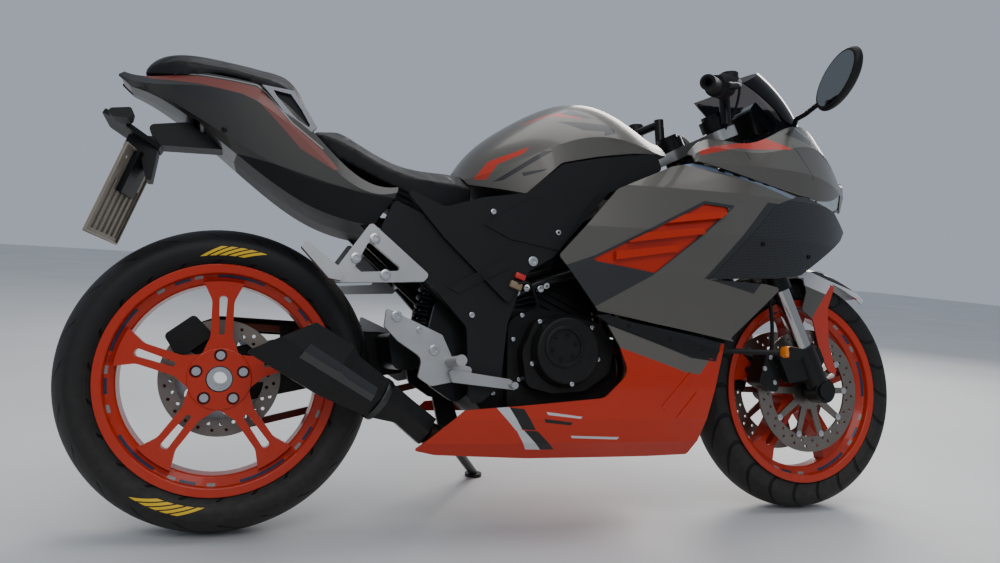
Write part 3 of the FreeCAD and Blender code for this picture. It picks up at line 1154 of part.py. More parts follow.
def make_rearsets():
    """Footrest plates, pegs, pedal and gear lever, and the passenger's triangular hangers."""
    plate = slab([(306, 452, 4), (420, 402, 8), (446, 348, 8), (484, 338, 8), (480, 316, 8), (400, 300, 10),
                  (372, 318, 8), (380, 356, 20), (330, 388, 8), (302, 416, 4)], -178, -168)
    peg = rod((438, -176, 348), (438, -262, 352), 11)
    spacers = [rod((416, -PLATE_Y1, 338), (416, -170, 338), 9), rod((464, -PLATE_Y1, 330), (464, -170, 330), 9)]
    lever = slab([(430, 334, 6), (560, 316, 4), (574, 306, 4), (572, 294, 4), (440, 308, 6)], -192, -184)
    pivot = rod((444, -178, 320), (444, -186, 320), 8)
    tip = rod((564, -186, 304), (564, -214, 304), 7)
    one = fuse([plate, peg, lever, pivot, tip] + spacers)
    add("footrests", pair(one))
    hanger = slab([(271, 622, 8), (392, 522, 8), (380, 508, 8), (204, 498, 8), (196, 512, 6)], -172, -158)
    hole = slab([(268, 584, 6), (340, 528, 6), (236, 520, 6)], -180, -150)
    hang_bolts = [rod((300, -100, 596), (300, -160, 596), 8), rod((384, -100, 535), (384, -160, 524), 8)]
    hanger = fuse([hanger.cut(hole)] + hang_bolts).cut([PARTS["frame"], PARTS["frame_covers"]])
    peg2 = slab([(214, 500, 4), (190, 504, 4), (136, 562, 3), (146, 574, 3), (218, 520, 4)], -194, -172)
    add("passenger_hangers", pair(fuse([hanger, peg2])))


def lowest(axle, radius, width, across):
    """The lowest point of a round-crowned tyre with its axle along a direction."""
    crown = crown_radius(width)
    return axle.z - (radius - crown) * math.sqrt(1 - across.z * across.z) - crown


def placed(turn, about, axis):
    """The move that turns things by an angle about an axis through a point."""
    rotation = FreeCAD.Rotation(axis, turn)
    return FreeCAD.Placement(V(0, 0, 0), rotation, about)


def resting_place():
    """Leans the bike about the line under its tyres, then lifts and pitches it so both tyres meet the floor."""
    lean = placed(-LEAN, V(0, 0, 0), V(1, 0, 0))
    steer = placed(STEER_AT_REST, STEER_POINT, UP_FORK)
    across = lean.Rotation.multVec(V(0, 1, 0))
    rear = lowest(lean.multVec(REAR_AXLE), REAR_TYRE_R, REAR_TYRE_W, across)
    turned = lean.multiply(steer)
    front = lowest(turned.multVec(FRONT_AXLE), FRONT_TYRE_R, FRONT_TYRE_W, turned.Rotation.multVec(V(0, 1, 0)))
    lift = FreeCAD.Placement(V(0, 0, -rear), FreeCAD.Rotation())
    pitch = placed(math.degrees(math.atan2(front - rear, WHEELBASE)), V(0, 0, 0), V(0, 1, 0))
    return pitch.multiply(lift).multiply(lean), pitch.multiply(lift).multiply(turned)


REST, REST_STEERED = resting_place()
UPRIGHT_FLOOR = REST.inverse().Rotation.multVec(V(0, 0, 1))
STAND_FOOT_AT = REST.inverse().multVec(V(STAND_FOOT[0], STAND_FOOT[1], 0))
STAND_DOWN = (STAND_FOOT_AT - V(*STAND_PIVOT)).normalize()
STAND_AXIS = STAND_DOWN.cross(V(*STAND_FOLDED)).normalize()
STAND_TRAVEL = math.degrees(STAND_DOWN.getAngle(V(*STAND_FOLDED)))


def put(shape, place):
    """A copy of a shape moved by a placement."""
    made = shape.copy()
    made.Placement = place.multiply(made.Placement)
    return made


def make_stand():
    """The side stand in its parked place: head on the bracket's lug, leg, and a flat foot on the floor."""
    pivot = V(*STAND_PIVOT)
    top = pivot + STAND_AXIS * (STAND_LUG_HALF + TURN)
    head = Part.makeCylinder(STAND_LUG_R - 1, 12, top, STAND_AXIS)
    pin = Part.makeCylinder(STAND_PIN_R, 2 * STAND_LUG_HALF + 12 + TURN, pivot - STAND_AXIS * (STAND_LUG_HALF + 6),
                            STAND_AXIS)
    cap = Part.makeCylinder(STAND_PIN_R + 4, 5, pivot - STAND_AXIS * (STAND_LUG_HALF + 5 + TURN), STAND_AXIS)
    foot, floor_up = STAND_FOOT_AT, UPRIGHT_FLOOR
    ankle = foot + floor_up * STAND_FOOT_T
    leg = rod(top + STAND_AXIS * 6, ankle, STAND_LEG_R)
    pad = Part.makeCylinder(STAND_FOOT_R, STAND_FOOT_T, foot, floor_up)
    lug_room = Part.makeCylinder(STAND_LUG_R + 2, 2 * STAND_LUG_HALF + 2 * TURN,
                                 pivot - STAND_AXIS * (STAND_LUG_HALF + TURN), STAND_AXIS)
    leg = leg.cut(lug_room)
    below = Part.makeCylinder(200, 60, foot - floor_up * 60, floor_up)
    return fuse([head, leg, pad, pin, cap]).cut(below)


STEERED = ("front_tyre", "front_rim", "front_discs", "fork_outer_tubes", "fork_stanchions", "fork_feet", "front_axle",
           "lower_clamp", "top_clamp", "clip_on_bars", "grips", "bar_controls", "front_mudguard", "front_calipers")


MAKERS = (make_wheels, make_discs, make_rear_hub, make_chain, make_swingarm, make_engine, make_frame, make_shock,
          make_fairing,
          make_cowl, make_tank_and_seats, make_tail, make_indicators, make_side_covers, make_exhaust, make_fork,
          make_bars, make_front_guard, make_calipers, make_radiator, make_rearsets)


def build():
    """Makes every piece, poses the bike and returns the shapes by node name."""
    for make in MAKERS:
        make()
    PARTS["side_stand"] = make_stand()
    posed = {}
    for name, shape in PARTS.items():
        posed[name] = put(shape, REST_STEERED if name in STEERED else REST)
    return posed


def footprint_shift(posed):
    """The move that puts the origin in the middle of the outline, on the floor."""
    boxes = [shape.optimalBoundingBox() for shape in posed.values()]
    x = (min(b.XMin for b in boxes) + max(b.XMax for b in boxes)) / 2
    y = (min(b.YMin for b in boxes) + max(b.YMax for b in boxes)) / 2
    return V(-x, -y, 0)


def main():
    posed = build()
    shift = footprint_shift(posed)
    os.makedirs("parts", exist_ok=True)
    for name, shape in posed.items():
        shape.translate(shift)
        shape.exportStep("parts/" + name + ".step")


if __name__ == "__main__":
    main()
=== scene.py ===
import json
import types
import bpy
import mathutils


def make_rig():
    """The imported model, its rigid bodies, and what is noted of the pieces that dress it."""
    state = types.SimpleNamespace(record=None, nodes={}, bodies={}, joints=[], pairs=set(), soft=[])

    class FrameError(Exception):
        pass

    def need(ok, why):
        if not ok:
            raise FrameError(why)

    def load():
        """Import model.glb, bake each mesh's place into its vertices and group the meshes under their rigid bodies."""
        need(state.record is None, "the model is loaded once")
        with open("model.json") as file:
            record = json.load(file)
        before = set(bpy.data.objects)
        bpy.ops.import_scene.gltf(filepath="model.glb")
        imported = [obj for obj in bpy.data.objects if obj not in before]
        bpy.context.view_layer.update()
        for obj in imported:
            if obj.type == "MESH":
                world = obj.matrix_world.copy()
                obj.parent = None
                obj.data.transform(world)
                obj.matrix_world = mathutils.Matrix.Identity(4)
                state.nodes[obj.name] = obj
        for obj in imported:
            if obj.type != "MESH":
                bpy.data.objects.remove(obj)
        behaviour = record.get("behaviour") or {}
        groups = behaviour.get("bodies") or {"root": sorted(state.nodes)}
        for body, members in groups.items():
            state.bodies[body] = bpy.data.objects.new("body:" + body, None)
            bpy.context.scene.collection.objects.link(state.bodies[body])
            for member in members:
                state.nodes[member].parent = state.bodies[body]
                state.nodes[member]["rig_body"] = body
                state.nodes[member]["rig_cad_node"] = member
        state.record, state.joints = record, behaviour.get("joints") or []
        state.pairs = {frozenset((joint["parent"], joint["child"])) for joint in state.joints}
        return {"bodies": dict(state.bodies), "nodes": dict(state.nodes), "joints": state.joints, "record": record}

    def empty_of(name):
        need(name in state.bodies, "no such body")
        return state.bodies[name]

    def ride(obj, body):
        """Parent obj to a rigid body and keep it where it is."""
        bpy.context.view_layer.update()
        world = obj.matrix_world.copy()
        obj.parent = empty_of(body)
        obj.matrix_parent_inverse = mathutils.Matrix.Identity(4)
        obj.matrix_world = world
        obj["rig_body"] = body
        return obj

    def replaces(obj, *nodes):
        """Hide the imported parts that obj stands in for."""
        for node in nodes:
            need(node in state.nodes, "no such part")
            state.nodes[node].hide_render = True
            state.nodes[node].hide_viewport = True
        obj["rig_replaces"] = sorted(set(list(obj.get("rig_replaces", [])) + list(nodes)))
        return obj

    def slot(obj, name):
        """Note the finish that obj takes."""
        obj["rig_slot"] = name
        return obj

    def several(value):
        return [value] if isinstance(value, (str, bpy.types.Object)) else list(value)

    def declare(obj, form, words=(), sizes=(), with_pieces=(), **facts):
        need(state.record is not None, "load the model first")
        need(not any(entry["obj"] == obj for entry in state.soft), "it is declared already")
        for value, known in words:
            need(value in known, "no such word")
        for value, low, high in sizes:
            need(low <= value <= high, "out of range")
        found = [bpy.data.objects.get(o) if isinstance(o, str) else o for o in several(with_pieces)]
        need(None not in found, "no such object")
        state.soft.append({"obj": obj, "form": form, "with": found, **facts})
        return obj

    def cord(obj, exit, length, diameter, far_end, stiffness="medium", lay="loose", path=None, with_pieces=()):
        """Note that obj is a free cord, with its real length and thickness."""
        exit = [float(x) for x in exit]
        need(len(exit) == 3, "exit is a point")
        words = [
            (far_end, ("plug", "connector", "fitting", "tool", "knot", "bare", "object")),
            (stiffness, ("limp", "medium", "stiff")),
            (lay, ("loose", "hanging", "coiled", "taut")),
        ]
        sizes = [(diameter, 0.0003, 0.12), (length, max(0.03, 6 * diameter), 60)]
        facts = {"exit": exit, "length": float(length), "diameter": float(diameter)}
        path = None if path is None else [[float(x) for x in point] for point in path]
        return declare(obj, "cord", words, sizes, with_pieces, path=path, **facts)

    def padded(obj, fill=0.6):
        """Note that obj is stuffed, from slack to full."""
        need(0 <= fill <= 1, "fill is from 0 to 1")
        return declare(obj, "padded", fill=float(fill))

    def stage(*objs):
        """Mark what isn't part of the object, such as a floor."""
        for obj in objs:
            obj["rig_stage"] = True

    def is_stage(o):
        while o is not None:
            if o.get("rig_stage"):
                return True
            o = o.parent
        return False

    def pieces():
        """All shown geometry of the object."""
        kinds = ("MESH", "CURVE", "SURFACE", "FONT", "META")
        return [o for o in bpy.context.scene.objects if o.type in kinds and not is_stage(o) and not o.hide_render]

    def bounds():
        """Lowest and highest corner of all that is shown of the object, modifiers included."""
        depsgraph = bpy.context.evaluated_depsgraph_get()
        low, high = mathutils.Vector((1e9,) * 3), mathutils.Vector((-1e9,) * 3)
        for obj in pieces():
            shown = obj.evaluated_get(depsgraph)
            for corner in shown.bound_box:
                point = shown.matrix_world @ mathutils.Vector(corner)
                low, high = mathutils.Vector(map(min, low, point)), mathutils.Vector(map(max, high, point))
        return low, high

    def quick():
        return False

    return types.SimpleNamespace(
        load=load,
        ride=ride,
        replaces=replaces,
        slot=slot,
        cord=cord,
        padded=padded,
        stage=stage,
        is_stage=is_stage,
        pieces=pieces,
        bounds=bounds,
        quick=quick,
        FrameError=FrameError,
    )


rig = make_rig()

bl_info = {
    "name": "Sport bike dressing",
    "version": (1, 0, 0),
    "blender": (4, 5, 0),
    "location": "3D View > Sidebar > Sport Bike",
    "description": "Gives the sport bike its finishes, trim and small pieces, and sets its stage",
    "category": "Object",
}

import json
import math

import bmesh
import bpy
from bpy.props import FloatProperty, FloatVectorProperty, PointerProperty
from mathutils import Matrix, Vector
from mathutils.bvhtree import BVHTree

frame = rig.load()
CAD_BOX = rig.bounds()
NODES = frame["nodes"]
JOINTS = {joint["name"]: joint for joint in frame["joints"]}

# The bike was drawn upright, in millimetres: X forward from the rear axle, Y to the left, Z up
MM = 0.001
RAKE = math.radians(24.5)
REAR_AXLE = Vector((0.0, 0.0, 306.0))
FRONT_AXLE = Vector((1395.0, 0.0, 293.0))
REAR_TYRE = (306.0, 150.0)
FRONT_TYRE = (293.0, 110.0)
FLANGE_R = 229.0
BEAD_R = 216.0
REAR_RIM_W = 124.0
FRONT_RIM_W = 92.0
# Yellow bars on the rear tyre: from and to in degrees round the wheel, and the nearest and furthest radius
REAR_MARKS = ((77.0, 98.0, 245.0, 263.0), (-119.0, -97.0, 246.0, 266.0))


def drawing_frame(spin, axle):
    """The move from the upright drawing to the resting bike, from a wheel's joint and the steering's axis."""
    across = Vector(JOINTS[spin]["axis"]).normalized()
    fork = Vector(JOINTS["steering_turn"]["axis"]).normalized()
    forward = across.cross(fork)
    ahead = (forward * math.cos(RAKE) - fork * math.sin(RAKE)).normalized()
    above = ahead.cross(across).normalized()
    turn = Matrix((ahead, across, above)).transposed()
    place = Vector(JOINTS[spin]["pos_m"]) - turn @ (axle * MM)
    return Matrix.Translation(place) @ turn.to_4x4() @ Matrix.Scale(MM, 4)


BIKE = drawing_frame("rear_wheel_spin", REAR_AXLE)
FORK = drawing_frame("front_wheel_spin", FRONT_AXLE)


def colour_property(name, description, default):
    """A colour that can be set in the sidebar."""
    return FloatVectorProperty(name=name, description=description, subtype="COLOR", size=3, default=default,
                               min=0.0, max=1.0)


class BikeColours(bpy.types.PropertyGroup):
    """Colours that an owner would choose."""
    graphite: colour_property("Graphite", "Main paint", (0.105, 0.097, 0.084))
    orange: colour_property("Orange", "Wheels, belly pan and louvres", (0.44, 0.018, 0.001))
    yellow: colour_property("Yellow", "Stripes on the tyres", (0.75, 0.47, 0.02))


class BikeSizes(bpy.types.PropertyGroup):
    """Sizes of trim that an owner would change."""
    tread_depth: FloatProperty(name="Tread depth", description="Depth of the tyres' grooves", default=0.003,
                               min=0.0, max=0.006, unit="LENGTH")


# Shader helpers
def fill(node, **values):
    """Sets a node's own settings, and its inputs by their names."""
    for key, value in values.items():
        if hasattr(node, key) and key not in ("scale", "color"):
            setattr(node, key, value)
        else:
            name = key.replace("_", " ")
            next(slot for slot in node.inputs if slot.name.lower() == name).default_value = value


def put_node(tree, kind, **values):
    """A shader node with its settings and inputs filled in."""
    node = tree.nodes.new(kind)
    fill(node, **values)
    return node


def feed(tree, slot, value):
    """Gives an input an output's link, a plain number, or a colour of three numbers."""
    if isinstance(value, bpy.types.NodeSocket):
        tree.links.new(value, slot)
    else:
        slot.default_value = (*value, 1.0) if slot.type == "RGBA" else value


def new_group(name, inputs, outputs):
    """An empty shader group with named sockets, and its input and output nodes."""
    group = bpy.data.node_groups.new(name, "ShaderNodeTree")
    kinds = {"f": "NodeSocketFloat", "c": "NodeSocketColor", "v": "NodeSocketVector"}
    for label, kind, default in inputs:
        made = group.interface.new_socket(label, in_out="INPUT", socket_type=kinds[kind])
        if default is not None:
            made.default_value = default
    for label, kind in outputs:
        group.interface.new_socket(label, in_out="OUTPUT", socket_type=kinds[kind])
    return group, group.nodes.new("NodeGroupInput"), group.nodes.new("NodeGroupOutput")


def calc(tree, operation, first, *others):
    """Math nodes that work each further value into the first; the values are outputs or plain numbers."""
    for other in others or (None,):
        node = put_node(tree, "ShaderNodeMath", operation=operation)
        feed(tree, node.inputs[0], first)
        if other is not None:
            feed(tree, node.inputs[1], other)
        first = node.outputs[0]
    return first


def ramp(tree, value, low, high, start=0.0, end=1.0):
    """Runs from start to end as a value runs from low to high."""
    node = put_node(tree, "ShaderNodeMapRange", from_min=low, from_max=high, to_min=start, to_max=end)
    tree.links.new(value, node.inputs["Value"])
    return node.outputs[0]


def mixed(tree, mask, under, over):
    """One colour laid over another where a mask is 1; each is an output or three numbers."""
    mix = put_node(tree, "ShaderNodeMix", data_type="RGBA")
    for name, value in (("Factor", mask), ("A", under), ("B", over)):
        feed(tree, mix.inputs[name], value)
    return mix.outputs["Result"]


def grain_group():
    """Fine surface relief from noise."""
    group, start, end = new_group("Grain", [("Vector", "v", None), ("Scale", "f", 400.0), ("Depth", "f", 0.0002)],
                                  [("Normal", "v")])
    vector, scale, depth = start.outputs[:3]
    noise = put_node(group, "ShaderNodeTexNoise", detail=4.0, roughness=0.6)
    bump = put_node(group, "ShaderNodeBump", strength=0.6)
    for value, slot in ((vector, noise.inputs["Vector"]), (scale, noise.inputs["Scale"]),
                        (noise.outputs[0], bump.inputs["Height"]), (depth, bump.inputs["Distance"]),
                        (bump.outputs["Normal"], end.inputs["Normal"])):
        group.links.new(value, slot)
    return group


DUST = (0.30, 0.26, 0.21)


def patina_group():
    """Colour and gloss that vary in soft patches, with a little dust low down."""
    group, start, end = new_group(
        "Patina", [("Vector", "v", None), ("Colour", "c", (0.5, 0.5, 0.5, 1.0)), ("Scale", "f", 9.0),
                   ("Spread", "f", 0.1), ("Roughness", "f", 0.4), ("Uneven", "f", 0.08), ("Dust", "f", 0.1)],
        [("Colour", "c"), ("Roughness", "f")])
    vector, colour, scale, spread, roughness, uneven, dusty = start.outputs[:7]
    noise = put_node(group, "ShaderNodeTexNoise", detail=5.0, roughness=0.62)
    fine = put_node(group, "ShaderNodeTexNoise", detail=3.0, scale=70.0)
    scaled = put_node(group, "ShaderNodeVectorMath", operation="SCALE")
    xyz = put_node(group, "ShaderNodeSeparateXYZ")
    offset = calc(group, "SUBTRACT", noise.outputs[0], 0.5)
    gain = calc(group, "ADD", calc(group, "MULTIPLY", offset, spread), 1.0)
    for value, slot in ((vector, noise.inputs["Vector"]), (scale, noise.inputs["Scale"]),
                        (vector, fine.inputs["Vector"]), (vector, xyz.inputs[0]), (colour, scaled.inputs[0]),
                        (gain, scaled.inputs["Scale"])):
        group.links.new(value, slot)
    low = ramp(group, xyz.outputs["Z"], 0.05, 0.55, 1.0, 0.0)
    dust = calc(group, "MULTIPLY", low, fine.outputs[0], dusty)
    gloss = calc(group, "ADD", roughness, calc(group, "MULTIPLY", offset, uneven),
                 calc(group, "MULTIPLY", dust, 0.5))
    group.links.new(mixed(group, dust, scaled.outputs[0], DUST), end.inputs["Colour"])
    group.links.new(gloss, end.inputs["Roughness"])
    return group


def wheel_group():
    """A point's angle, distance from the axle and side distance, from coordinates centred on the wheel."""
    group, start, end = new_group("Wheel place", [("Vector", "v", None)],
                                  [("Angle", "f"), ("Radius", "f"), ("Side", "f")])
    xyz = put_node(group, "ShaderNodeSeparateXYZ")
    group.links.new(start.outputs["Vector"], xyz.inputs[0])
    x, y, z = xyz.outputs
    square = calc(group, "ADD", calc(group, "MULTIPLY", x, x), calc(group, "MULTIPLY", z, z))
    for value, slot in zip((calc(group, "ARCTAN2", z, x), calc(group, "SQRT", square),
                            calc(group, "ABSOLUTE", y)), end.inputs):
        group.links.new(value, slot)
    return group


GROUPS = {}


def group_of(name):
    """A shared shader group, made the first time it is asked for."""
    makers = {"grain": grain_group, "patina": patina_group, "wheel": wheel_group}
    if name not in GROUPS:
        GROUPS[name] = makers[name]()
    return GROUPS[name]


def put_group(tree, name, vector, **values):
    """A shared shader group in a tree, fed with coordinates."""
    node = put_node(tree, "ShaderNodeGroup", node_tree=group_of(name), **values)
    tree.links.new(vector, node.inputs["Vector"])
    return node


MATERIALS = {}


def start_material(name):
    """A new material's tree and shader, and the object's coordinates."""
    MATERIALS[name] = bpy.data.materials.new(name)
    MATERIALS[name].use_nodes = True
    tree = MATERIALS[name].node_tree
    return tree, tree.nodes["Principled BSDF"], put_node(tree, "ShaderNodeTexCoord").outputs["Object"]


def wire(tree, shader, colour, rough, normal):
    """Links the shader's colour, roughness and normal."""
    for name, value in (("Base Color", colour), ("Roughness", rough), ("Normal", normal)):
        tree.links.new(value, shader.inputs[name])


def surface(tree, shader, place, colour, rough, grain, patch, uneven=0.08, dust=0.1):
    """Patina and grain over a colour, which is an output or three numbers."""
    patina = put_group(tree, "patina", place, scale=patch[0], spread=patch[1], roughness=rough, uneven=uneven,
                       dust=dust)
    feed(tree, patina.inputs["Colour"], colour)
    relief = put_group(tree, "grain", place, scale=grain[0], depth=grain[1])
    wire(tree, shader, *patina.outputs, relief.outputs["Normal"])


def finish(name, colour, rough, metal, coat, grain, patch, uneven, dust):
    """A painted, moulded or cast surface; gives its shader."""
    tree, shader, place = start_material(name)
    surface(tree, shader, place, colour, rough, grain, patch, uneven, dust)
    fill(shader, metallic=metal, coat_weight=coat, coat_roughness=0.06)
    return shader


DULL = 0.22
DULL_FINISHES = ("black plastic", "black satin", "cast black", "rubber", "grip rubber", "seat cover", "orange panel")


def make_finishes():
    """All plain finishes of the bike."""
    orange = tuple(bpy.context.scene.bike_colours.orange)
    table = {
        # name: colour, roughness, metal, coat, grain, patches, uneven, dust
        "orange panel": (orange, 0.30, 0.0, 0.3, (1800.0, 0.00003), (6.0, 0.14), 0.08, 0.05),
        "black plastic": ((0.0075, 0.0078, 0.0085), 0.50, 0.0, 0.0, (900.0, 0.00022), (12.0, 0.35), 0.14, 0.05),
        "black satin": ((0.0065, 0.0065, 0.0070), 0.38, 0.2, 0.1, (700.0, 0.00010), (12.0, 0.4), 0.14, 0.06),
        "black gloss": ((0.005, 0.005, 0.0055), 0.14, 0.0, 0.6, (900.0, 0.00003), (9.0, 0.3), 0.08, 0.02),
        "cast black": ((0.010, 0.010, 0.0105), 0.48, 0.4, 0.0, (420.0, 0.00040), (20.0, 0.5), 0.20, 0.10),
        "cast silver": ((0.42, 0.42, 0.42), 0.40, 0.9, 0.0, (520.0, 0.00030), (16.0, 0.28), 0.16, 0.12),
        "steel": ((0.50, 0.50, 0.51), 0.28, 1.0, 0.0, (900.0, 0.00006), (20.0, 0.2), 0.14, 0.08),
        "exhaust steel": ((0.16, 0.12, 0.09), 0.38, 1.0, 0.0, (500.0, 0.00012), (8.0, 0.6), 0.2, 0.15),
        "chrome": ((0.42, 0.41, 0.40), 0.16, 1.0, 0.0, (900.0, 0.00002), (20.0, 0.1), 0.05, 0.05),
        "disc steel": ((0.22, 0.19, 0.165), 0.34, 0.95, 0.0, (900.0, 0.00008), (26.0, 0.4), 0.16, 0.05),
        "chain": ((0.10, 0.022, 0.014), 0.42, 0.8, 0.0, (600.0, 0.00010), (30.0, 0.5), 0.2, 0.1),
        "rubber": ((0.008, 0.008, 0.0082), 0.66, 0.0, 0.0, (500.0, 0.00030), (14.0, 0.3), 0.1, 0.05),
        "grip rubber": ((0.008, 0.008, 0.0082), 0.60, 0.0, 0.0, (260.0, 0.00090), (14.0, 0.3), 0.1, 0.02),
        "seat cover": ((0.0085, 0.0085, 0.0095), 0.48, 0.0, 0.05, (620.0, 0.00030), (10.0, 0.3), 0.12, 0.03),
        "plate": ((0.25, 0.215, 0.175), 0.50, 0.1, 0.0, (300.0, 0.00012), (10.0, 0.4), 0.12, 0.4),
        "red lens": ((0.22, 0.006, 0.005), 0.14, 0.0, 0.6, (400.0, 0.00006), (9.0, 0.1), 0.05, 0.02),
        "red plastic": ((0.45, 0.012, 0.008), 0.35, 0.0, 0.2, (700.0, 0.00006), (9.0, 0.2), 0.05, 0.05),
        "tan plastic": ((0.20, 0.14, 0.08), 0.50, 0.0, 0.0, (700.0, 0.00010), (9.0, 0.3), 0.05, 0.10),
        "amber lens": ((0.72, 0.20, 0.010), 0.14, 0.0, 0.6, (260.0, 0.00030), (9.0, 0.1), 0.05, 0.02),
        "display": ((0.006, 0.007, 0.008), 0.10, 0.0, 0.5, (900.0, 0.00001), (9.0, 0.1), 0.03, 0.02),
        "blue gloss": ((0.030, 0.040, 0.060), 0.16, 0.2, 0.8, (900.0, 0.00003), (9.0, 0.2), 0.05, 0.02),
        "steel dark": ((0.06, 0.06, 0.06), 0.35, 1.0, 0.0, (900.0, 0.00006), (20.0, 0.2), 0.14, 0.08),
        "mirror glass": ((0.20, 0.21, 0.22), 0.04, 1.0, 0.0, (900.0, 0.00001), (9.0, 0.05), 0.02, 0.0),
    }
    for name, look in table.items():
        shader = finish(name, *look)
        if name in DULL_FINISHES:
            fill(shader, specular_ior_level=DULL)


def centred(tree, place, move, pivot=(0.0, 0.0, 0.0)):
    """Object coordinates turned upright and measured from a point of the drawing, in metres."""
    turn = move.to_3x3().normalized().transposed()
    node = put_node(tree, "ShaderNodeMapping")
    node.inputs["Rotation"].default_value = turn.to_euler()
    node.inputs["Location"].default_value = -(turn @ (move @ Vector(pivot)))
    tree.links.new(place, node.inputs["Vector"])
    return node.outputs[0]


def inside(tree, vector, outline, soft=0.0007):
    """A mask, 1 within a convex outline of (x, z) points in the side view."""
    middle = sum((Vector(p) for p in outline), Vector((0.0, 0.0))) / len(outline)
    depths = []
    for here, after in zip(outline, outline[1:] + outline[:1]):
        a, b = Vector(here), Vector(after)
        normal = Vector((b.y - a.y, a.x - b.x)).normalized()
        if normal.dot(middle - a) < 0:
            normal = -normal
        node = put_node(tree, "ShaderNodeVectorMath", operation="DOT_PRODUCT")
        tree.links.new(vector, node.inputs[0])
        node.inputs[1].default_value = (normal.x, 0.0, normal.y)
        depths.append(calc(tree, "SUBTRACT", node.outputs["Value"], normal.dot(a) * MM))
    return ramp(tree, calc(tree, "MINIMUM", *depths), -soft / 2, soft / 2)


def joined(tree, masks):
    """The areas of several masks together."""
    return calc(tree, "MAXIMUM", *masks) if len(masks) > 1 else masks[0]


def painted(name, base, areas, move=BIKE, metal=0.45):
    """Paint with coloured areas: each area is a colour and its convex outlines in the side view."""
    tree, shader, place = start_material(name)
    vector = centred(tree, place, move)
    colour, masks = base, []
    for shade, outlines in areas:
        masks.append(joined(tree, [inside(tree, vector, outline) for outline in outlines]))
        colour = mixed(tree, masks[-1], colour, shade)
    surface(tree, shader, place, colour, 0.34, (2400.0, 0.00004), (5.0, 0.12), 0.06, 0.05)
    fill(shader, coat_weight=0.3, coat_roughness=0.06)
    if metal:
        bare = calc(tree, "SUBTRACT", 1.0, joined(tree, masks))
        tree.links.new(calc(tree, "MULTIPLY", bare, metal), shader.inputs["Metallic"])
    else:
        fill(shader, specular_ior_level=DULL)


# Paint and tape colours, and colours of painted shade, painted highlight and painted sky reflection
BLACK = (0.006, 0.006, 0.007)
SHADOW = (0.012, 0.012, 0.013)
# Painted reflection of the sky along the upper edges of the side panel and the cowl
SKY_REFLECTION = (0.13, 0.17, 0.24)
WHITE = (0.50, 0.51, 0.53)
# A tape colour on the rims, and a painted highlight along the tail's top edge
PALE = (0.22, 0.22, 0.22)
# The tail's graphite paint, painted darker as shade
SHADED_GRAPHITE = (0.034, 0.032, 0.029)
# A dark orange, for a band along the tail's top edge
DARK_ORANGE = (0.15, 0.024, 0.014)
TAPE_BLUE = (0.012, 0.018, 0.06)
TAPE_RED = (0.30, 0.012, 0.010)


def band(points, width):
    """Four-sided outlines along a run of points, each as wide as the band, below the run."""
    runs = []
    for a, b in zip(points, points[1:]):
        along = (Vector(b) - Vector(a)).normalized()
        down = Vector((along.y, -along.x)) * width
        runs.append([tuple(a), tuple(b), tuple(Vector(b) + down), tuple(Vector(a) + down)])
    return runs


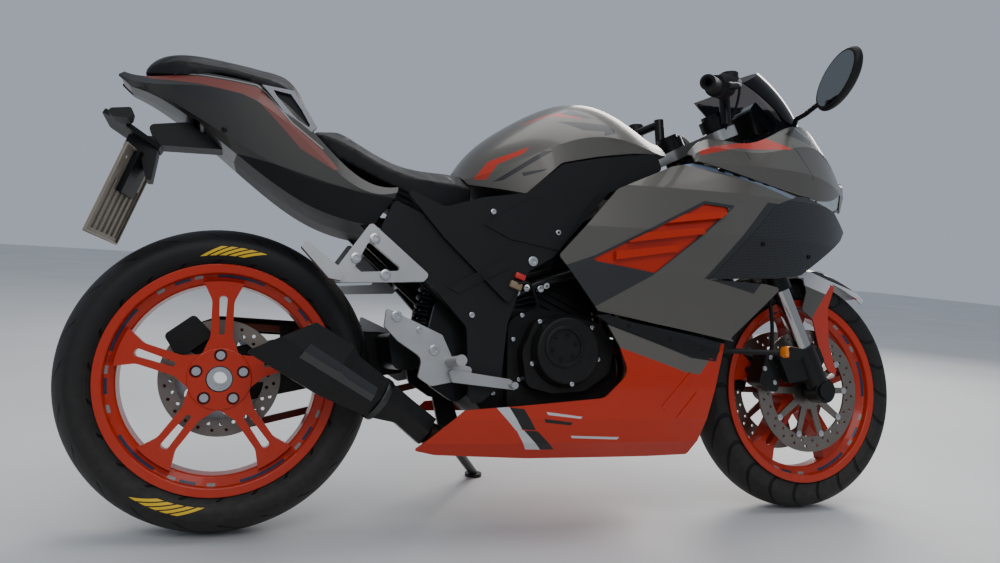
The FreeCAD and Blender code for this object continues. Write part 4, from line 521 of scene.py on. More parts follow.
def make_painted():
    """The panels that carry stripes and coloured areas, with painted shade, a painted highlight and a painted sky
    reflection.
    """
    colours = bpy.context.scene.bike_colours
    graphite, orange = tuple(colours.graphite), tuple(colours.orange)
    top_edge = [(890, 792), (958, 806), (1061, 793), (1153, 774), (1248, 745)]
    dashes = [[(x + 38 * k, z - 7.2 * k) for x, z in ((1040, 800), (1058, 797), (1064, 785), (1046, 788))]
              for k in range(5)]
    painted("side panel paint", graphite, [
        # A painted sky reflection along the panel's top edge
        (SKY_REFLECTION, band(top_edge, 9)),
        (BLACK, dashes + [[(1159, 722), (1230, 722), (1062, 562), (988, 538)],
                          [(988, 540), (1062, 564), (1137, 536), (1118, 512)]]),
        (SHADOW, [[(728, 573), (990, 711), (985, 701), (736, 570)],
                  [(990, 711), (1066, 706), (1060, 698), (985, 702)],
                  [(866, 540), (880, 548), (1062, 700), (1070, 703)]]),
    ])
    painted("cowl paint", graphite, [
        (orange, [[(1001, 838), (1212, 894), (1112, 853), (1001, 822)],
                  [(1112, 865), (1212, 896), (1265, 866), (1112, 851)]]),
        (BLACK, [[(1270, 915), (1349, 958), (1385, 940), (1356, 885)], [(1385, 940), (1446, 828), (1356, 885)]]),
        # A painted sky reflection along the cowl's upper edge
        (SKY_REFLECTION, band([(1310, 950), (1395, 880), (1480, 862), (1536, 838)], 4)),
        (SHADOW, [[(1268, 880), (1309, 792), (1312, 792), (1272, 881)],
                  [(1112, 853), (1126, 824), (1129, 824), (1115, 853)]]),
    ])
    # The tail is painted darker than the graphite as shade
    painted("tail paint", SHADED_GRAPHITE, [
        (DARK_ORANGE, [[(-183, 906), (-66, 903), (-64, 884), (-156, 896)],
                       [(-66, 903), (39, 888), (21, 866), (-64, 884)],
                       [(39, 888), (52, 882), (46, 856), (21, 866)],
                       [(52, 882), (109, 819), (95, 806), (46, 856)],
                       [(109, 819), (171, 770), (131, 766), (95, 806)],
                       [(171, 770), (207, 731), (199, 727), (131, 766)]]),
        (SHADOW, [[(-138, 882), (-55, 877), (-14, 841), (-82, 857)], [(-55, 877), (20, 868), (4, 854), (-14, 841)]]),
        (BLACK, [[(-240, 940), (-184, 912), (-152, 884), (-200, 850)]]),
        # A painted highlight along the tail's top edge
        (PALE, band([(-180, 914), (-66, 908), (44, 893), (64, 876), (114, 818), (176, 772)], 2.4)),
    ])
    painted("belly paint", orange, [
        (graphite, [[(763, 440), (881, 410), (966, 335), (793, 387)],
                    [(881, 410), (1032, 370), (1001, 331), (966, 335)]]),
        (BLACK, [[(733, 470), (765, 470), (767, 433), (745, 440)], [(765, 470), (1064, 415), (1046, 360), (976, 367)],
                 [(765, 470), (976, 367), (767, 433), (766, 440)]]),
        (orange, band([(881, 410), (1037, 370)], 6)),
        (WHITE, [[(527, 265), (561, 259), (592, 214), (579, 212)], [(579, 214), (596, 212), (641, 170), (608, 171)],
                 [(640, 250), (720, 240), (716, 236), (644, 244)], [(700, 200), (812, 196), (808, 191), (704, 195)]]),
        (BLACK, [[(561, 259), (592, 256), (622, 212), (592, 214)], [(596, 212), (626, 210), (671, 170), (641, 170)],
                 [(636, 236), (700, 228), (696, 222), (640, 228)]]),
    ], metal=0.0)
    painted("tank paint", graphite, [
        (orange, [[(608, 880), (662, 904), (691, 912), (640, 890)], [(662, 904), (705, 915), (740, 893), (691, 900)],
                  [(501, 745), (531, 785), (560, 797), (527, 744)],
                  [(531, 785), (613, 817), (598, 800), (545, 776)]]),
        (BLACK, [[(696, 908), (720, 922), (767, 898), (740, 896)], [(679, 884), (790, 882), (810, 865), (733, 862)],
                 [(790, 882), (811, 872), (810, 862), (780, 853)], [(538, 738), (560, 742), (660, 808), (639, 806)],
                 [(596, 758), (650, 768), (640, 762), (600, 750)]]),
    ])
    painted("mudguard paint", graphite, [
        (WHITE, [[(1330, 660), (1680, 660), (1680, 480), (1536, 512), (1376, 560)]]),
        (SHADOW, [[(1376, 602), (1470, 586), (1560, 545), (1468, 572)]]),
        (orange, [[(1468, 563), (1556, 530), (1536, 508), (1470, 530)],
                  [(1407, 476), (1470, 560), (1483, 525), (1457, 480)],
                  [(1407, 476), (1500, 500), (1470, 400), (1428, 388)],
                  [(1428, 388), (1470, 400), (1500, 300), (1440, 320)]]),
    ], FORK)


# The rim's tape: its edges from the axle in metres, repeats in a turn, and each dash's start, stop and colour
TAPE_INNER = (0.2030, 0.2034)
TAPE_OUTER = (0.2086, 0.2090)
TAPE_REPEATS = 5
TAPE_START = 5.1
TAPE_DASHES = ((0.04, 0.40, TAPE_BLUE), (0.43, 0.49, TAPE_RED), (0.51, 0.57, PALE), (0.60, 0.72, TAPE_BLUE),
               (0.80, 0.86, PALE))


def make_rim_paint(name, move, axle):
    """Orange wheel paint with a thin dashed tape near the rim's edge."""
    tree, shader, place = start_material(name)
    angle, distance, _ = put_group(tree, "wheel", centred(tree, place, move, axle)).outputs
    ring = calc(tree, "MULTIPLY", ramp(tree, distance, *TAPE_INNER), ramp(tree, distance, *TAPE_OUTER, 1.0, 0.0))
    repeats = calc(tree, "MULTIPLY", angle, TAPE_REPEATS / (2 * math.pi))
    turns = calc(tree, "FRACT", calc(tree, "ADD", repeats, TAPE_START))
    colour = tuple(bpy.context.scene.bike_colours.orange)
    for start, stop, shade in TAPE_DASHES:
        mask = calc(tree, "MULTIPLY", calc(tree, "GREATER_THAN", turns, start),
                    calc(tree, "LESS_THAN", turns, stop), ring)
        colour = mixed(tree, mask, colour, shade)
    surface(tree, shader, place, colour, 0.34, (1800.0, 0.00003), (6.0, 0.16))
    fill(shader, specular_ior_level=DULL, coat_weight=0.3, coat_roughness=0.08)


def make_weave():
    """Carbon-look panels: a twill of light and dark threads under a clear coat."""
    tree, shader, place = start_material("carbon weave")
    turned = put_node(tree, "ShaderNodeMapping")
    turned.inputs["Rotation"].default_value = (0.0, math.radians(45), 0.0)
    checks = put_node(tree, "ShaderNodeTexChecker", scale=230.0, color1=(0.016, 0.016, 0.018, 1.0),
                      color2=(0.004, 0.004, 0.005, 1.0))
    bump = put_node(tree, "ShaderNodeBump", strength=0.35, distance=0.0004)
    for value, slot in ((place, turned.inputs["Vector"]), (turned.outputs[0], checks.inputs["Vector"]),
                        (checks.outputs["Fac"], bump.inputs["Height"]),
                        (checks.outputs["Color"], shader.inputs["Base Color"]),
                        (bump.outputs[0], shader.inputs["Normal"])):
        tree.links.new(value, slot)
    fill(shader, roughness=0.30, metallic=0.2, coat_weight=0.25, coat_roughness=0.05)


def make_glass():
    """The smoked screen and the clear lamp lenses."""
    for name, colour, rough in (("smoke glass", (0.012, 0.012, 0.014, 1.0), 0.03),
                                ("clear glass", (0.86, 0.88, 0.90, 1.0), 0.02)):
        tree, shader, place = start_material(name)
        relief = put_group(tree, "grain", place, scale=60.0, depth=0.00004)
        tree.links.new(relief.outputs["Normal"], shader.inputs["Normal"])
        fill(shader, base_color=colour, roughness=rough, transmission_weight=0.9, ior=1.30)


# Tyre tread: grooves round the tyre, how far they lean per metre sideways, and the wall's rings per metre
TREAD_BLOCKS = 22
TREAD_LEAN = 22.0
WALL_RINGS = 160.0


def make_tyre_rubber(name, move, axle, radius, marks):
    """Tyre rubber with slanted grooves over the crown, painted darker as shade, fine rings on the side wall, and
    slanted yellow bars.
    """
    tree, shader, place = start_material(name)
    angle, distance, side = put_group(tree, "wheel", centred(tree, place, move, axle)).outputs
    sweep = calc(tree, "ADD", calc(tree, "MULTIPLY", angle, TREAD_BLOCKS / (2 * math.pi)),
                 calc(tree, "MULTIPLY", side, TREAD_LEAN))
    groove = calc(tree, "MULTIPLY", ramp(tree, calc(tree, "PINGPONG", sweep, 0.5), 0.05, 0.075, 1.0, 0.0),
                  ramp(tree, side, 0.010, 0.013),
                  ramp(tree, side, radius * 0.20 * MM, radius * 0.205 * MM, 1.0, 0.0))
    ring = calc(tree, "PINGPONG", calc(tree, "MULTIPLY", distance, WALL_RINGS), 0.5)
    rings = calc(tree, "MULTIPLY", ramp(tree, ring, 0.02, 0.10, 1.0, 0.0),
                 ramp(tree, distance, (FLANGE_R + 14) * MM, (FLANGE_R + 16) * MM, 1.0, 0.0))
    bump = put_node(tree, "ShaderNodeBump", strength=1.0, distance=bpy.context.scene.bike_sizes.tread_depth)
    height = calc(tree, "SUBTRACT", calc(tree, "MULTIPLY", rings, 0.12), groove)
    tree.links.new(height, bump.inputs["Height"])
    patina = put_group(tree, "patina", place, colour=(0.0095, 0.0095, 0.0100, 1.0), scale=18.0, spread=0.5,
                       roughness=0.56, dust=0.10)
    # The grooves are painted darker: painted shade in the recesses
    colour = mixed(tree, groove, patina.outputs["Colour"], (0.002, 0.002, 0.002))
    yellow = tuple(bpy.context.scene.bike_colours.yellow)
    for start, stop, near, far in marks:
        first, last = math.radians(start), math.radians(stop)
        slant = calc(tree, "MULTIPLY", calc(tree, "SUBTRACT", distance, (near + far) / 2 * MM), 9.0)
        leaned = calc(tree, "ADD", angle, slant)
        along = calc(tree, "MULTIPLY", calc(tree, "SUBTRACT", leaned, first), 5.0 / math.radians(stop - start))
        mask = calc(tree, "MULTIPLY", calc(tree, "LESS_THAN", calc(tree, "FRACT", along), 0.68),
                    calc(tree, "GREATER_THAN", leaned, first), calc(tree, "LESS_THAN", leaned, last),
                    calc(tree, "GREATER_THAN", distance, near * MM), calc(tree, "LESS_THAN", distance, far * MM))
        colour = mixed(tree, mask, colour, yellow)
    wire(tree, shader, colour, patina.outputs["Roughness"], bump.outputs[0])
    fill(shader, specular_ior_level=0.25)


NODE_FINISHES = {
    "black satin": "frame swingarm rear_shock silencer radiator fairing_brackets fairing_stay rear_caliper "
                   "lower_clamp fork_outer_tubes fork_feet front_axle front_calipers clip_on_bars side_stand",
    "black plastic": "chain_guard tail_undertray plate_hanger indicators frame_covers mirrors bar_controls",
    "cast black": "crankcase cylinder_head clutch_cover stator_cover",
    "cast silver": "footrests passenger_hangers top_clamp",
    "steel": "drive_sprocket rear_sprocket rear_hub_axle rear_wheel_nuts",
    "disc steel": "front_discs rear_disc", "seat cover": "rider_seat passenger_seat",
    "chain": "chain", "chrome": "fork_stanchions", "exhaust steel": "header_pipes", "display": "instrument",
    "grip rubber": "grips", "plate": "number_plate", "red lens": "tail_lamp", "orange panel": "louvres",
    "carbon weave": "wing_panels", "clear glass": "headlamps", "smoke glass": "windscreen",
    "side panel paint": "side_fairings", "cowl paint": "upper_cowl", "belly paint": "belly_pan",
    "tail paint": "tail_panels", "tank paint": "fuel_tank", "mudguard paint": "front_mudguard",
    "front rim paint": "front_rim", "rear rim paint": "rear_rim", "front tyre rubber": "front_tyre",
    "rear tyre rubber": "rear_tyre",
}


def dress_nodes():
    """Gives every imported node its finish."""
    finish_of = {name: look for look, names in NODE_FINISHES.items() for name in names.split()}
    for name, node in NODES.items():
        node.data.materials.clear()
        node.data.materials.append(MATERIALS[finish_of[name]])


# Pieces are drawn in millimetres on the upright bike, then moved with the body that they ride
STEERED_NODES = ("front_calipers", "fork_feet", "fork_outer_tubes", "front_mudguard", "front_axle", "front_discs")
TREES = {}


def move_of(body):
    """The move from the drawing to a body at rest."""
    return FORK if body in ("steering", "front_wheel") else BIKE


def drawn(name, move):
    """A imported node's mesh, back in the drawing's millimetres."""
    mesh = bmesh.new()
    mesh.from_mesh(NODES[name].data)
    bmesh.ops.transform(mesh, matrix=move.inverted() @ NODES[name].matrix_world, verts=mesh.verts)
    bmesh.ops.remove_doubles(mesh, verts=mesh.verts, dist=0.02)
    return mesh


def touch(names, x, z, side=-1):
    """The nearest point that a line from one side meets on some nodes, and which way the surface faces there."""
    best = None
    for name in names:
        if name not in TREES:
            mesh = drawn(name, FORK if name in STEERED_NODES else BIKE)
            TREES[name] = BVHTree.FromBMesh(mesh)
            mesh.free()
        hit, normal, _, reach = TREES[name].ray_cast(Vector((x, 500.0 * side, z)), Vector((0.0, -side, 0.0)))
        if hit is not None and (best is None or reach < best[2]):
            best = (hit, normal, reach)
    if best is None:
        raise RuntimeError(f"no surface at x {x}, z {z} on {names}")
    facing = best[1] * (1 if best[1].y * side > 0 else -1)
    return best[0], facing if abs(facing.y) > 0.8 else Vector((0.0, side, 0.0))


def soften(mesh, edges, offset):
    """Rounds some edges over."""
    bmesh.ops.bevel(mesh, geom=list(edges), offset=offset, segments=2, affect="EDGES", profile=0.5, material=-1)


def rod(mesh, start, end, radius, tip=None, segments=24, edge=0.0):
    """A round bar between two points, its rims rounded by edge; gives its faces."""
    start, end, before = Vector(start), Vector(end), set(mesh.faces)
    along = end - start
    place = Matrix.Translation((start + end) / 2) @ along.to_track_quat("Z", "Y").to_matrix().to_4x4()
    bmesh.ops.create_cone(mesh, cap_ends=True, segments=segments, radius1=radius,
                          radius2=radius if tip is None else tip, depth=along.length, matrix=place)
    made = [face for face in mesh.faces if face not in before]
    if edge:
        soften(mesh, {e for face in made if len(face.verts) > 4 for e in face.edges}, edge)
        made = [face for face in mesh.faces if face not in before]
    return made


# Bolts: how far each is sunk, and the socket's rim and depth as shares of the head's radius and height
BOLT_ROOT = 2.0
SOCKET_RIM = 0.42
SOCKET_DEPTH = 0.65


def bolt(mesh, at, out, radius, tall):
    """A socket head seated on a surface, its recess sunk into it."""
    at, out = Vector(at), Vector(out).normalized()
    made = rod(mesh, at - out * BOLT_ROOT, at + out * tall, radius, segments=18, edge=0.8)
    cap = max((face for face in made if len(face.verts) > 6),
              key=lambda face: (face.calc_center_median() - at).dot(out))
    bmesh.ops.inset_individual(mesh, faces=[cap], thickness=radius * SOCKET_RIM)
    bmesh.ops.inset_individual(mesh, faces=[cap], thickness=0.15, depth=-tall * SOCKET_DEPTH)


def box(mesh, middle, size, edge=1.0, turn=0.0):
    """A block with rounded edges, turned about the side axis in degrees."""
    place = (Matrix.Translation(middle) @ Matrix.Rotation(math.radians(turn), 4, "Y")
             @ Matrix.Diagonal((*size, 1.0)))
    made = bmesh.ops.create_cube(mesh, size=1.0, matrix=place)
    soften(mesh, {e for vert in made["verts"] for e in vert.link_edges}, edge)


def whole(faces):
    """Some faces with all their edges and corners."""
    return faces + list({e for f in faces for e in f.edges}) + list({v for f in faces for v in f.verts})


def thicken(mesh, faces, vec):
    """Makes a flat piece solid by drawing its faces out along a vector."""
    made = bmesh.ops.extrude_face_region(mesh, geom=faces)["geom"]
    bmesh.ops.translate(mesh, verts=[item for item in made if isinstance(item, bmesh.types.BMVert)], vec=vec)


SINK = 2.0


def skin_patch(mesh, names, outline, lift, y, step):
    """A thin piece that follows the surface under an outline of (x, z) points seen from the right.

    Where the outline runs past the surface's edge, the piece goes on flat at y."""
    before = set(mesh.faces)
    mesh.faces.new([mesh.verts.new((x, -500.0, z)) for x, z in outline])
    for values, normal in zip(zip(*outline), (Vector((1.0, 0.0, 0.0)), Vector((0.0, 0.0, 1.0)))):
        low, high = min(values), max(values)
        for n in range(1, math.ceil((high - low) / step)):
            faces = [face for face in mesh.faces if face not in before]
            bmesh.ops.bisect_plane(mesh, geom=whole(faces), plane_co=normal * (low + n * step), plane_no=normal)
    faces = [face for face in mesh.faces if face not in before]
    for vert in {v for f in faces for v in f.verts}:
        try:
            vert.co.y = touch(names, vert.co.x, vert.co.z)[0].y - lift
        except RuntimeError:
            vert.co.y = y
    thicken(mesh, faces, (0.0, lift + SINK, 0.0))


def ring_of(mesh, points):
    """The corners and edges of a closed loop through some points."""
    verts = [mesh.verts.new(point) for point in points]
    return verts, [mesh.edges.new(pair) for pair in zip(verts, verts[1:] + verts[:1])]


def wheel_lathe(mesh, axle, outline, steps=160):
    """A full turn about an axle of a closed outline of (radius, y) points."""
    verts, edges = ring_of(mesh, [(axle.x + r, y, axle.z) for r, y in outline])
    bmesh.ops.spin(mesh, geom=verts + edges, cent=axle, axis=(0.0, 1.0, 0.0), dvec=(0.0, 0.0, 0.0),
                   angle=2 * math.pi, steps=steps, use_merge=True, use_duplicate=False)


def around(middle, radius, degrees, y):
    """A point at a distance and an angle round a middle, at side distance y."""
    turn = math.radians(degrees)
    return Vector((middle.x + radius * math.cos(turn), y, middle.z + radius * math.sin(turn)))


def both_sides(mesh):
    """A mirrored copy of all that is drawn, on the bike's left side."""
    copy = bmesh.ops.duplicate(mesh, geom=mesh.verts[:] + mesh.edges[:] + mesh.faces[:])["geom"]
    verts = [item for item in copy if isinstance(item, bmesh.types.BMVert)]
    bmesh.ops.scale(mesh, vec=(1.0, -1.0, 1.0), verts=verts)
    bmesh.ops.reverse_faces(mesh, faces=[item for item in copy if isinstance(item, bmesh.types.BMFace)])


def placed(name, data):
    """A new object in the scene."""
    made = bpy.data.objects.new(name, data)
    bpy.context.scene.collection.objects.link(made)
    return made


def meshed(name, mesh):
    """A drawn mesh as an object in the scene."""
    data = bpy.data.meshes.new(name)
    mesh.to_mesh(data)
    mesh.free()
    return placed(name, data)


def make_piece(name, mesh, body, slot, material=None, angle=35.0, stands_for=()):
    """Finishes a drawn mesh: merged, facing outwards, in place, smoothed, and riding its body.

    Its finish has the slot's name unless a material is named."""
    bmesh.ops.remove_doubles(mesh, verts=mesh.verts, dist=0.01)
    bmesh.ops.recalc_face_normals(mesh, faces=mesh.faces)
    bmesh.ops.transform(mesh, matrix=move_of(body), verts=mesh.verts)
    piece = meshed(name, mesh)
    piece.data.shade_smooth()
    piece.data.set_sharp_from_angle(angle=math.radians(angle))
    piece.data.materials.append(MATERIALS[material or slot.replace("_", " ")])
    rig.ride(piece, body)
    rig.slot(piece, slot)
    if stands_for:
        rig.replaces(piece, *stands_for)


def skin_piece(name, slot, names, patches, material=None, step=14.0):
    """A piece on the bike's right side made of skin patches: each a lift, a side distance and an outline."""
    mesh = bmesh.new()
    for lift, y, outline in patches:
        skin_patch(mesh, names, outline, lift, y, step)
    make_piece(name, mesh, "chassis", slot, material)


# Tyres
SHOULDER_HALF = 0.93
SHOULDER_DROP = 0.42
ROUND_GAP = 1.4
BEAD_INSET = 6.3
WALL_BULGE = 3.5


def tyre_outline(radius, width, rim_width):
    """Closed outline of a tyre: round crown, bulging walls, beads and the hollow inside."""
    half = width / 2
    bead = rim_width / 2 - BEAD_INSET
    chord, rise = half * SHOULDER_HALF, half * SHOULDER_DROP
    crown = (chord * chord + rise * rise) / (2 * rise)
    reach = math.asin(chord / crown)
    arc = [(radius - crown * (1 - math.cos(t)), crown * math.sin(t))
           for t in (reach * (1 - k / 14) for k in range(15))]
    low, top = Vector((FLANGE_R + 1.0, bead)), Vector(arc[0])
    wide = Vector((BEAD_R + (radius - BEAD_R) * 0.36, half + WALL_BULGE))
    wall = [tuple(low * (1 - t) ** 2 + wide * 2 * t * (1 - t) + top * t * t) for t in (k / 8 for k in range(8))]
    side = [(BEAD_R + 0.3, bead)] + wall + arc
    inner = [(BEAD_R + 0.3, 10.0 - bead), (radius - 12.0, 0.0), (BEAD_R + 0.3, bead - 10.0)]
    return side + [(r, -y) for r, y in reversed(side[:-1])] + inner


class BIKE_OT_tyres(bpy.types.Operator):
    """Makes the two round tyres, which stand for the CAD tyres."""
    bl_idname = "bike.tyres"
    bl_label = "Tyres"

    def execute(self, context):
        for end, axle, (radius, width), rim in (("rear", REAR_AXLE, REAR_TYRE, REAR_RIM_W),
                                                ("front", FRONT_AXLE, FRONT_TYRE, FRONT_RIM_W)):
            mesh = bmesh.new()
            wheel_lathe(mesh, axle, tyre_outline(radius - ROUND_GAP, width, rim))
            make_piece(f"{end}_road_tyre", mesh, f"{end}_wheel", "tyre", f"{end} tyre rubber", 50.0,
                       (f"{end}_tyre",))
        return {"FINISHED"}


# Seat pads: the remesh's step, the shrink, the seams' depth and the puff's limit are in metres
PAD_VOXEL = 0.006
PAD_SHRINK = 0.004
SEAM_DEPTH = 0.0035
SEAM_HALF = 8.0
PUFF_FRAMES = 20
PUFF_LIMIT = 0.005


def baked(piece):
    """Turns a piece's modifiers into its mesh."""
    made = bpy.data.meshes.new_from_object(piece.evaluated_get(bpy.context.evaluated_depsgraph_get()))
    piece.modifiers.clear()
    piece.data = made


def puffed(name, node, seam):
    """A seat pad blown up from a slightly smaller copy of its CAD solid, with sewn channels."""
    mesh = drawn(node, BIKE)
    bmesh.ops.recalc_face_normals(mesh, faces=mesh.faces)
    bmesh.ops.transform(mesh, matrix=BIKE, verts=mesh.verts)
    piece = meshed(name, mesh)
    even = piece.modifiers.new("even", "REMESH")
    even.mode = "VOXEL"
    even.voxel_size = PAD_VOXEL
    baked(piece)
    places = [vert.co.copy() for vert in piece.data.vertices]
    for vert, normal in zip(piece.data.vertices, [v.normal.copy() for v in piece.data.vertices]):
        vert.co -= normal * PAD_SHRINK
    back = BIKE.inverted()
    for vert, normal in zip(piece.data.vertices, [v.normal.copy() for v in piece.data.vertices]):
        at = back @ vert.co
        near = min(abs(abs(at.y) - seam), SEAM_HALF)
        vert.co -= normal * SEAM_DEPTH * (1 - near / SEAM_HALF)
    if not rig.quick():
        puff = piece.modifiers.new("puff", "CLOTH")
        puff.settings.quality = 4
        puff.settings.use_pressure = True
        puff.settings.uniform_pressure_force = 4.0
        puff.settings.effector_weights.gravity = 0.0
        for number in range(1, PUFF_FRAMES + 1):
            bpy.context.scene.frame_set(number)
        baked(piece)
        bpy.context.scene.frame_set(1)
        for vert, place in zip(piece.data.vertices, places):
            step = vert.co - place
            if step.length > PUFF_LIMIT:
                vert.co = place + step.normalized() * PUFF_LIMIT
    piece.data.materials.clear()
    piece.data.materials.append(MATERIALS["seat cover"])
    piece.data.shade_smooth()
    smooth = piece.modifiers.new("smooth", "SUBSURF")
    smooth.levels = smooth.render_levels = 1
    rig.ride(piece, "chassis")
    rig.slot(piece, "seat_cover")
    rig.replaces(piece, node)
    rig.padded(piece, fill=0.8)


class BIKE_OT_pads(bpy.types.Operator):
    """Makes the rider's and passenger's seat pads."""
    bl_idname = "bike.pads"
    bl_label = "Seat pads"

    def execute(self, context):
        puffed("rider_pad", "rider_seat", 84.0)
        puffed("passenger_pad", "passenger_seat", 66.0)
        return {"FINISHED"}


# Bolts: name, nodes that they seat on, head radius, height, and (x, z) points on the right side
BOLTS = (
    ("engine_bolts", ("clutch_cover", "crankcase", "cylinder_head", "belly_pan", "frame"), 5.0, 5.0,
     ((636, 437), (724, 448), (757, 428), (767, 360), (700, 307), (620, 348), (604, 314), (560, 334), (554, 283),
      (756, 300), (565, 422), (590, 399), (609, 451))),
    ("engine_fittings", ("crankcase", "cylinder_head", "frame", "frame_covers"), 7.5, 10.0,
     ((593, 498), (613, 508), (643, 508), (653, 518), (593, 508), (603, 538))),
    ("frame_bolts", ("frame_covers", "frame", "footrests", "swingarm", "passenger_hangers"), 6.0, 4.0,
     ((523, 661), (669, 627), (484, 445), (372, 411))),
    ("hanger_bolts", ("frame_covers", "frame", "footrests", "passenger_hangers"), 10.5, 5.0,
     ((279, 589), (302, 518), (243, 548), (326, 437), (404, 372), (612, 562))),
    ("panel_screws", ("belly_pan", "side_fairings", "louvres", "wing_panels", "tail_panels"), 5.5, 2.5,
     ((818, 433), (920, 406), (1006, 385), (1137, 624), (1278, 606), (-15, 796))),
)


class BIKE_OT_bolts(bpy.types.Operator):
    """Seats the bolts and screws on the engine, frame and panels."""
    bl_idname = "bike.bolts"
    bl_label = "Bolts"

    def execute(self, context):
        for name, names, radius, tall, points in BOLTS:
            mesh = bmesh.new()
            for x, z in points:
                bolt(mesh, *touch(names, x, z), radius, tall)
            make_piece(name, mesh, "chassis", "steel", "black satin" if name == "panel_screws" else "steel")
        return {"FINISHED"}


# Trim: the indicators' lenses, the silencer's band, the grab ears' rings, and the number plate's top and directions
LENS_AT = (1188.0, -262.0, 383.0)
BAND_FROM, BAND_TO, BAND_R = (304, -147.5, 270.5), (293, -149.5, 277.5), 45.0
EAR_Y, EAR_BACK_Y = -112.0, -108.0
EAR_OUTER = ((52, 890), (113, 885), (140, 850), (162, 815), (152, 804), (125, 818), (100, 835), (68, 873))
EAR_INNER = ((74, 882), (108, 877), (130, 848), (148, 818), (146, 813), (124, 826), (106, 843), (80, 872))
PLATE_TOP = Vector((-174.0, 0.0, 757.0))
PLATE_ACROSS = Vector((0.1668, 0.9860, 0.0))
PLATE_DOWN = Vector((-0.3533, 0.0598, -0.9336))
PLATE_FRAME = ((-93, 2), (93, 2), (93, 186), (-93, 186))


class BIKE_OT_trim(bpy.types.Operator):
    """Makes the trim strips, lenses and small caps that lie on the panels."""
    bl_idname = "bike.trim"
    bl_label = "Trim"

    def execute(self, context):
        skin_piece("trim_strip", "black_plastic", ("belly_pan", "side_fairings", "louvres"),
                   [(1.6, -213.0, [(740, 452), (765, 454), (1056, 386), (1042, 366), (980, 372), (772, 434)])])
        skin_piece("belly_ribs", "orange_panel", ("belly_pan",),
                   [(2.0, -195.0, [(905, 262), (915, 254), (985, 328), (975, 336)]),
                    (2.0, -185.0, [(945, 238), (955, 230), (1004, 284), (994, 292)])])
        mesh = bmesh.new()
        box(mesh, LENS_AT, (44.0, 26.0, 26.0), 8.0, 6.0)
        both_sides(mesh)
        make_piece("front_lenses", mesh, "chassis", "amber_lens")
        skin_piece("cover_panels", "black_plastic", ("frame_covers",),
                   [(2.4, -176.0, [(504, 632), (589, 688), (766, 726), (722, 668), (672, 588), (562, 606)]),
                    (2.0, -176.0, [(430, 500), (455, 488), (560, 545), (552, 566)])])
        skin_piece("silencer_shield", "black_metal", ("silencer",),
                   [(3.0, -205.0, [(140, 352), (160, 378), (292, 296), (280, 270)])], "black gloss", 6.0)
        mesh = bmesh.new()
        rod(mesh, BAND_FROM, BAND_TO, BAND_R, segments=48, edge=1.5)
        make_piece("silencer_band", mesh, "chassis", "black_metal", "steel dark")
        mesh = bmesh.new()
        loops = [edge for ring in (EAR_OUTER, EAR_INNER)
                 for edge in ring_of(mesh, [(x, EAR_Y, z) for x, z in ring])[1]]
        thicken(mesh, bmesh.ops.bridge_loops(mesh, edges=loops)["faces"], (0.0, -12.0, 0.0))
        both_sides(mesh)
        make_piece("grab_ears", mesh, "chassis", "graphite_panel", "blue gloss")
        mesh = bmesh.new()
        back = mesh.faces.new([mesh.verts.new((x, EAR_BACK_Y, z)) for x, z in EAR_INNER])
        thicken(mesh, [back], (0.0, -6.0, 0.0))
        both_sides(mesh)
        make_piece("ear_backs", mesh, "chassis", "black_plastic")
        mesh = bmesh.new()
        top = PLATE_TOP + PLATE_DOWN.cross(PLATE_ACROSS) * 2.0
        ribs = [((offset, 70), (offset, 176), 1.8) for offset in range(-62, 79, 28)]
        edges = [(a, b, 2.4) for a, b in zip(PLATE_FRAME, PLATE_FRAME[1:] + PLATE_FRAME[:1])]
        for a, b, radius in ribs + edges:
            start, end = (top + PLATE_ACROSS * across + PLATE_DOWN * down for across, down in (a, b))
            rod(mesh, start, end, radius, segments=10, edge=0.5)
        make_piece("plate_ribs", mesh, "chassis", "plate_blank", "plate")
        return {"FINISHED"}


# Mirrors and bars: the mirrors' flat backs, how much of each the glass covers, the fluid cup and the switches
MIRROR_X = 1262.0
MIRROR_STALK = 262.0
GLASS_SHARE = 0.93
CUP_AT = Vector((1078.0, -196.0, 996.0))
SWITCH_AT = (1026.0, -236.0, 970.0)


class BIKE_OT_controls(bpy.types.Operator):
    """Makes the mirrors with flat glass, the brake fluid cup and the switch blocks."""
    bl_idname = "bike.controls"
    bl_label = "Mirrors and bars"

    def execute(self, context):
        mesh = drawn("mirrors", BIKE)
        heads = [f for f in mesh.faces if all(abs(v.co.y) > MIRROR_STALK for v in f.verts)]
        bmesh.ops.bisect_plane(mesh, geom=whole(heads), plane_co=(MIRROR_X, 0.0, 0.0), plane_no=(-1.0, 0.0, 0.0),
                               clear_outer=True)
        before = set(mesh.faces)
        bmesh.ops.holes_fill(mesh, edges=[e for e in mesh.edges if e.is_boundary], sides=0)
        glass = bmesh.new()
        for cap in [f for f in mesh.faces if f not in before]:
            middle = cap.calc_center_median()
            verts = [glass.verts.new(middle + (v.co - middle) * GLASS_SHARE) for v in cap.verts]
            thicken(glass, [glass.faces.new(verts)], (-0.8, 0.0, 0.0))
        make_piece("mirror_shells", mesh, "chassis", "black_plastic", "black plastic", 30.0, ("mirrors",))
        make_piece("mirror_glass", glass, "chassis", "chrome_tube", "mirror glass")
        mesh = bmesh.new()
        box(mesh, CUP_AT, (46.0, 30.0, 18.0), 4.0, -8.0)
        rod(mesh, CUP_AT + Vector((0.0, 0.0, 4.0)), CUP_AT + Vector((2.0, 0.0, 16.0)), 13.0, edge=1.5)
        make_piece("fluid_cup", mesh, "steering", "cast_silver")
        mesh = bmesh.new()
        box(mesh, SWITCH_AT, (44.0, 50.0, 44.0), 9.0, 12.0)
        both_sides(mesh)
        make_piece("switch_blocks", mesh, "steering", "black_plastic")
        return {"FINISHED"}


CLUTCH_X, CLUTCH_Z = 684.0, 385.0


